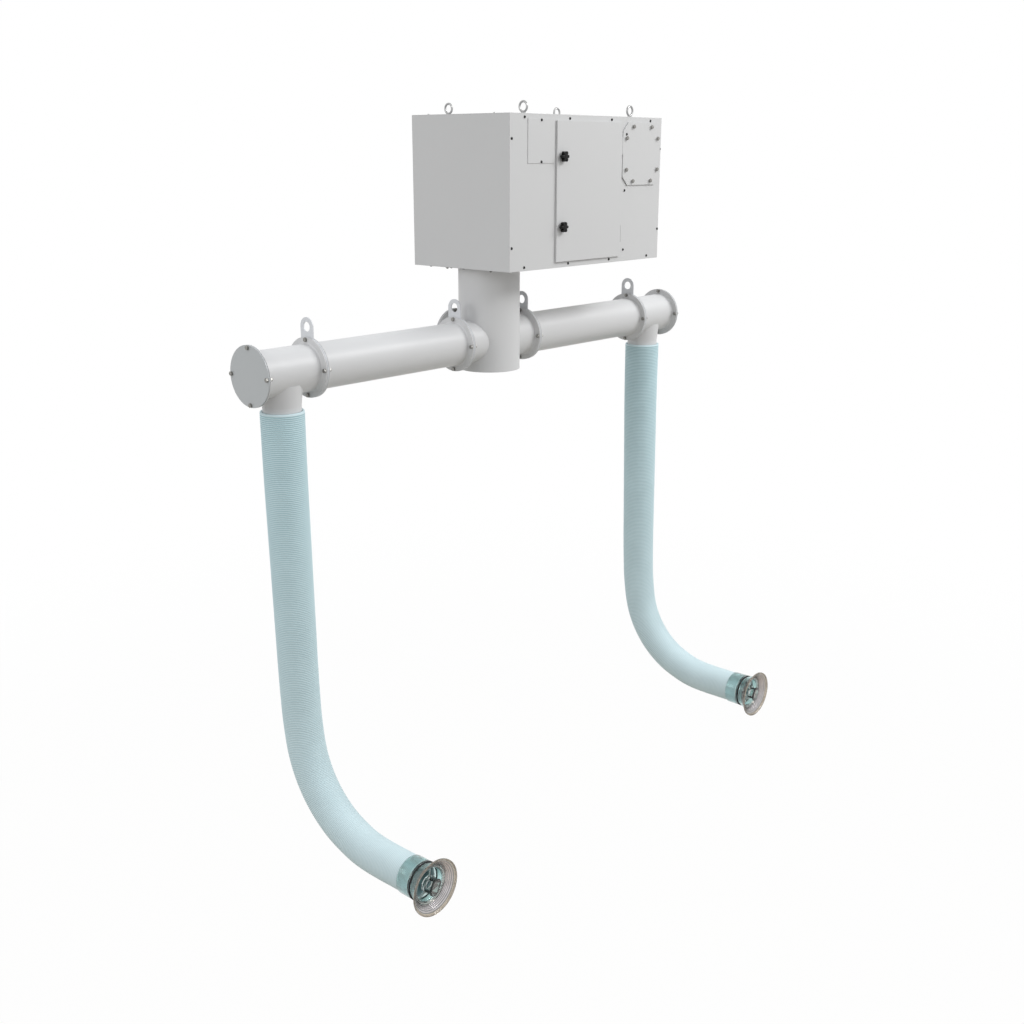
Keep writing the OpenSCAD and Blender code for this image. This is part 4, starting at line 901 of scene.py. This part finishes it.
def hose_plastic(name):
    """Pale teal ribbed hose with a soft gloss, and painted shade in its grooves, its bore and
    near the stub.
    """
    made, tree, shader = material(name, (0.42, 0.62, 0.64), 0.55, Specular_IOR_Level=0.35)
    # Groove colour: painted shade in the grooves and the bore; the crests keep the hose's pale
    # teal
    painted_groove, crest = (0.380, 0.555, 0.585), (0.785, 0.870, 0.895)
    cloud, painted_stub_shade = (0.95, 0.955, 0.955), (0.84, 0.93, 0.95)
    plain = (1.0, 1.0, 1.0)
    painted_groove_shade = add(tree, "ShaderNodeAttribute", attribute_name="painted_groove_shade")
    colour = ramp(tree, painted_groove_shade.outputs["Fac"], [(0.0, painted_groove), (1.0, crest)])
    uneven = ramp(tree, noise(tree, 14.0), [(0.3, cloud), (0.7, plain)])
    # Painted light and shade along the hose: darker near the stub, full colour from the low bend
    # on, which faces the light above
    along = add(tree, "ShaderNodeAttribute", attribute_name="along")
    painted_shade_along = ramp(tree, along.outputs["Fac"], [(0.0, painted_stub_shade), (0.9, plain)])
    tree.links.new(times(tree, times(tree, colour, uneven), painted_shade_along), shader.inputs["Base Color"])
    bump(tree, shader, noise(tree, 800.0, detail=2.0), 0.15, height=0.0001)
    return made


def clear_plastic(
    name, face_on, edge_on, roughness=0.06, clear=1.0, low=(1, 1, 1), high=(1, 1, 1)
):
    """Tinted transparent moulding: deeper where it is seen edge on, with faint flow streaks.

    Low and high tint it below and above the nozzle's axis: painted shade by height, not a tint
    of the plastic.
    """
    made, tree, shader = material(
        name, face_on, roughness, IOR=1.49, Transmission_Weight=clear, Coat_Weight=0.3
    )
    depth = add(tree, "ShaderNodeLayerWeight", Blend=0.45)
    tint = ramp(tree, depth.outputs["Facing"], [(0.15, face_on), (0.85, edge_on)])
    flow = noise(tree, 38.0, rough=0.55, stretch=(1, 0.4, 1))
    streaks = ramp(tree, flow, [(0.38, (0.84, 0.84, 0.83)), (0.62, (1.0, 1.0, 1.0))])
    # Painted shade: the colour goes from low to high across the nozzle's axis
    blend_h = 0.045
    z = height_of(tree, add(tree, "ShaderNodeTexCoord").outputs["Object"])
    level = remap(tree, z, NOZZLE_Z - blend_h, NOZZLE_Z + blend_h)
    painted_shade_by_height = ramp(tree, level, [(0.0, low), (1.0, high)])
    tree.links.new(times(tree, times(tree, tint, streaks), painted_shade_by_height), shader.inputs["Base Color"])
    bump(tree, shader, noise(tree, 70.0, detail=2.0), 0.35, height=0.0006)
    return made


def filter_paper(name, colour):
    """Dull fibrous filter medium."""
    made, tree, shader = material(name, colour, 0.9, Specular_IOR_Level=0.2)
    mottled(tree, shader, colour, scale=120.0, amount=0.05)
    bump(tree, shader, noise(tree, 1800.0), 0.5, height=0.0002)
    return made


# Rows hold a maker, a name and the maker's other values. The record's material slots come first,
# then the looks that only scene.py uses.
LOOKS = {
    name: make(name, *values)
    for make, name, *values in (
        (powder_coat, "white_powder_coat", (0.605, 0.607, 0.605), 0.42),
        (powder_coat, "white_duct_coat", (0.635, 0.637, 0.638), 0.45, 0.04),
        (plated, "black_screw", (0.045, 0.045, 0.045), 0.40),
        (plated, "zinc_plated", (0.28, 0.275, 0.26), 0.42),
        (plated, "galvanised_sheet", (0.58, 0.60, 0.61), 0.42),
        (rubber, "black_rubber", (0.018, 0.018, 0.019)),
        (rubber, "grey_rubber", (0.38, 0.39, 0.41)),
        (rubber, "black_knob", (0.005, 0.005, 0.005), 0.27, 0.22),
        (filter_paper, "filter_medium", (0.78, 0.78, 0.74)),
        (filter_paper, "carbon_filter", (0.035, 0.035, 0.036)),
        (powder_coat, "motor_black", (0.030, 0.030, 0.032), 0.45),
        (rubber, "gland_plastic", (0.10, 0.10, 0.11), 0.5),
        (hose_plastic, "teal_hose"),
        # The hood's last two colours are painted shade: pale below its axis, darker and browner
        # above it
        (clear_plastic, "clear_plastic", (0.58, 0.55, 0.54), (0.15, 0.13, 0.11),
         0.06, 1.0, (0.98, 0.96, 1.0), (0.74, 0.62, 0.53)),
        (clear_plastic, "clear_lip", (0.60, 0.53, 0.44), (0.33, 0.29, 0.23), 0.15, 0.75),
        # Dark grey: painted shade on the crests of the hood's moulded rings
        (clear_plastic, "clear_ring", (0.21, 0.24, 0.24), (0.08, 0.10, 0.10), 0.1, 0.7),
        (clear_plastic, "clear_hub", (0.62, 0.70, 0.69), (0.14, 0.17, 0.17)),
        (clear_plastic, "clear_guard", (0.74, 0.69, 0.66), (0.10, 0.09, 0.08)),
        # Near black: painted shade for the outlines of the clear strap and its legs
        (clear_plastic, "clear_guard_edge", (0.030, 0.036, 0.035), (0.01, 0.01, 0.01), 0.2, 0.1),
        (clear_plastic, "clear_sleeve", (0.80, 0.95, 0.945), (0.30, 0.49, 0.48)),
        (powder_coat, "white_plate_coat", (0.700, 0.715, 0.735), 0.40),
        (powder_coat, "grey_cap_coat", (0.475, 0.497, 0.503), 0.35),
        (plated, "pale_screw", (0.50, 0.50, 0.50), 0.45),
        (plated, "eye_bolt_zinc", (0.40, 0.40, 0.40), 0.36),
    )
}
# CAD nodes whose look in the photo differs from the rest of their slot
OWN_LOOKS = {
    "end_caps": "grey_cap_coat",
    "hanger_plates": "white_plate_coat",
    "door_seal": "grey_rubber",
}

for entry in frame["record"]["subparts"]:
    cad = nodes[entry["node"]].data
    cad.materials.clear()
    cad.materials.append(LOOKS[OWN_LOOKS.get(entry["node"], entry["material_slot"])])


# Pieces


def seat(piece, body, node):
    """Lets a piece ride on a body in place of a CAD node."""
    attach(piece, body)
    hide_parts(node)
    return piece


for side, arm_x in ARMS.items():
    tube, line, length = hose(side, LOOKS["teal_hose"])
    seat(tube, f"arm_{side}", f"hose_{side}")
    on_hose = [
        seat(sleeve(side), f"arm_{side}", f"sleeve_{side}"),
        seat(seal_ring(side), f"arm_{side}", f"seal_ring_{side}"),
        seat(hood(side), f"nozzle_{side}", f"hood_{side}"),
        seat(guard(side), f"nozzle_{side}", f"guard_{side}"),
    ]
    [tuple(p) for p in line]
for level in KNOB_ZS:
    seat(star_knob(level), f"latch_{level}", f"knob_{level}")
for screw_piece in screws():
    seat(screw_piece, "cabinet", "panel_screws")
seat(eye_bolts(), "cabinet", "eye_bolts")
seat(outlet_bolts(), "cabinet", "outlet_bolts")


# Stage, light and camera


def seen_rays(tree):
    """1 for camera, glossy and transmission rays, 0 for the rays that only gather light."""
    path = add(tree, "ShaderNodeLightPath")
    seen = path.outputs["Is Camera Ray"]
    for kind in ("Is Glossy Ray", "Is Transmission Ray"):
        either = add(tree, "ShaderNodeMath", operation="MAXIMUM")
        tree.links.new(seen, either.inputs[0])
        tree.links.new(path.outputs[kind], either.inputs[1])
        seen = either.outputs[0]
    return seen


def mixed(tree, share, one, other):
    """The first shader at a share of 0 and the second at 1."""
    node = add(tree, "ShaderNodeMixShader")
    for source, socket in zip((share, one, other), node.inputs):
        tree.links.new(source, socket)
    return node.outputs[0]


def stage_floor():
    """Pale floor under the unit that fades into the white background at its rim."""
    rim = [FLOOR_CENTRE + FLOOR_R * Vector((x, y, 0)) for x, y in circle(1, FLOOR_SIDES)]
    faces = [(0, 1 + k, 1 + (k + 1) % FLOOR_SIDES) for k in range(FLOOR_SIDES)]
    made, tree, shader = material("floor", FLOOR_COLOUR, FLOOR_ROUGHNESS)
    share = add(tree, "ShaderNodeMath", operation="MULTIPLY")
    tree.links.new(seen_rays(tree), share.inputs[0])
    share.inputs[1].default_value = FLOOR_WHITE
    white = add(tree, "ShaderNodeEmission", Color=(1, 1, 1, 1), Strength=1.0)
    lit = mixed(tree, share.outputs[0], shader.outputs["BSDF"], white.outputs[0])
    offset = add(tree, "ShaderNodeVectorMath", operation="DISTANCE")
    offset.inputs[1].default_value = FLOOR_CENTRE
    tree.links.new(add(tree, "ShaderNodeTexCoord").outputs["Object"], offset.inputs[0])
    ends = (part * FLOOR_R for part in FLOOR_FADE)
    fade = remap(tree, offset.outputs["Value"], *ends, interpolation_type="SMOOTHSTEP")
    clear = add(tree, "ShaderNodeBsdfTransparent")
    surface = mixed(tree, fade, lit, clear.outputs[0])
    tree.links.new(surface, tree.nodes["Material Output"].inputs["Surface"])
    floor = new_piece("floor", [FLOOR_CENTRE] + rim, faces, [made])


def world_light():
    """White world for what the camera and mirrors see, softer for the light it gives."""
    world = bpy.data.worlds.new("studio")
    bpy.context.scene.world = world
    world.use_nodes = True
    tree = world.node_tree
    soft = tree.nodes["Background"]
    z = height_of(tree, add(tree, "ShaderNodeTexCoord").outputs["Generated"])
    tree.links.new(ramp(tree, remap(tree, z, -1.0, 1.0), SKY), soft.inputs["Color"])
    white = add(tree, "ShaderNodeBackground", Color=(1, 1, 1, 1), Strength=1.0)
    surface = mixed(tree, seen_rays(tree), soft.outputs[0], white.outputs[0])
    tree.links.new(surface, tree.nodes["World Output"].inputs["Surface"])


def lamp(name, place, width, height, power):
    """Rectangular lamp that faces the lamps' aim."""
    light = bpy.data.lights.new(name, "AREA")
    light.shape = "RECTANGLE"
    light.size = width
    light.size_y = height
    light.energy = power
    holder = bpy.data.objects.new(name, light)
    holder.location = place
    holder.rotation_euler = (LAMPS_AIM - Vector(place)).to_track_quat("-Z", "Y").to_euler()
    bpy.context.scene.collection.objects.link(holder)


def camera():
    """The camera that the photograph was taken with."""
    ahead = Vector((
        math.sin(CAMERA_YAW) * math.cos(CAMERA_PITCH),
        math.cos(CAMERA_YAW) * math.cos(CAMERA_PITCH),
        -math.sin(CAMERA_PITCH),
    ))
    level = Vector((math.cos(CAMERA_YAW), -math.sin(CAMERA_YAW), 0))
    plumb = level.cross(ahead)
    right = level * math.cos(CAMERA_ROLL) + plumb * math.sin(CAMERA_ROLL)
    up = plumb * math.cos(CAMERA_ROLL) - level * math.sin(CAMERA_ROLL)
    lens = bpy.data.cameras.new("camera")
    lens.sensor_width = SENSOR_MM
    lens.lens = FOCAL_PX / PHOTO_PX * SENSOR_MM
    lens.clip_end = CLIP_END
    holder = bpy.data.objects.new("camera", lens)
    holder.matrix_world = Matrix((
        (right.x, up.x, -ahead.x, CAMERA_AT.x),
        (right.y, up.y, -ahead.y, CAMERA_AT.y),
        (right.z, up.z, -ahead.z, CAMERA_AT.z),
        (0, 0, 0, 1),
    ))
    bpy.context.scene.collection.objects.link(holder)
    bpy.context.scene.camera = holder


stage_floor()
world_light()
for row in LAMPS:
    lamp(*row)
camera()
bpy.context.scene.view_settings.view_transform = "Standard"
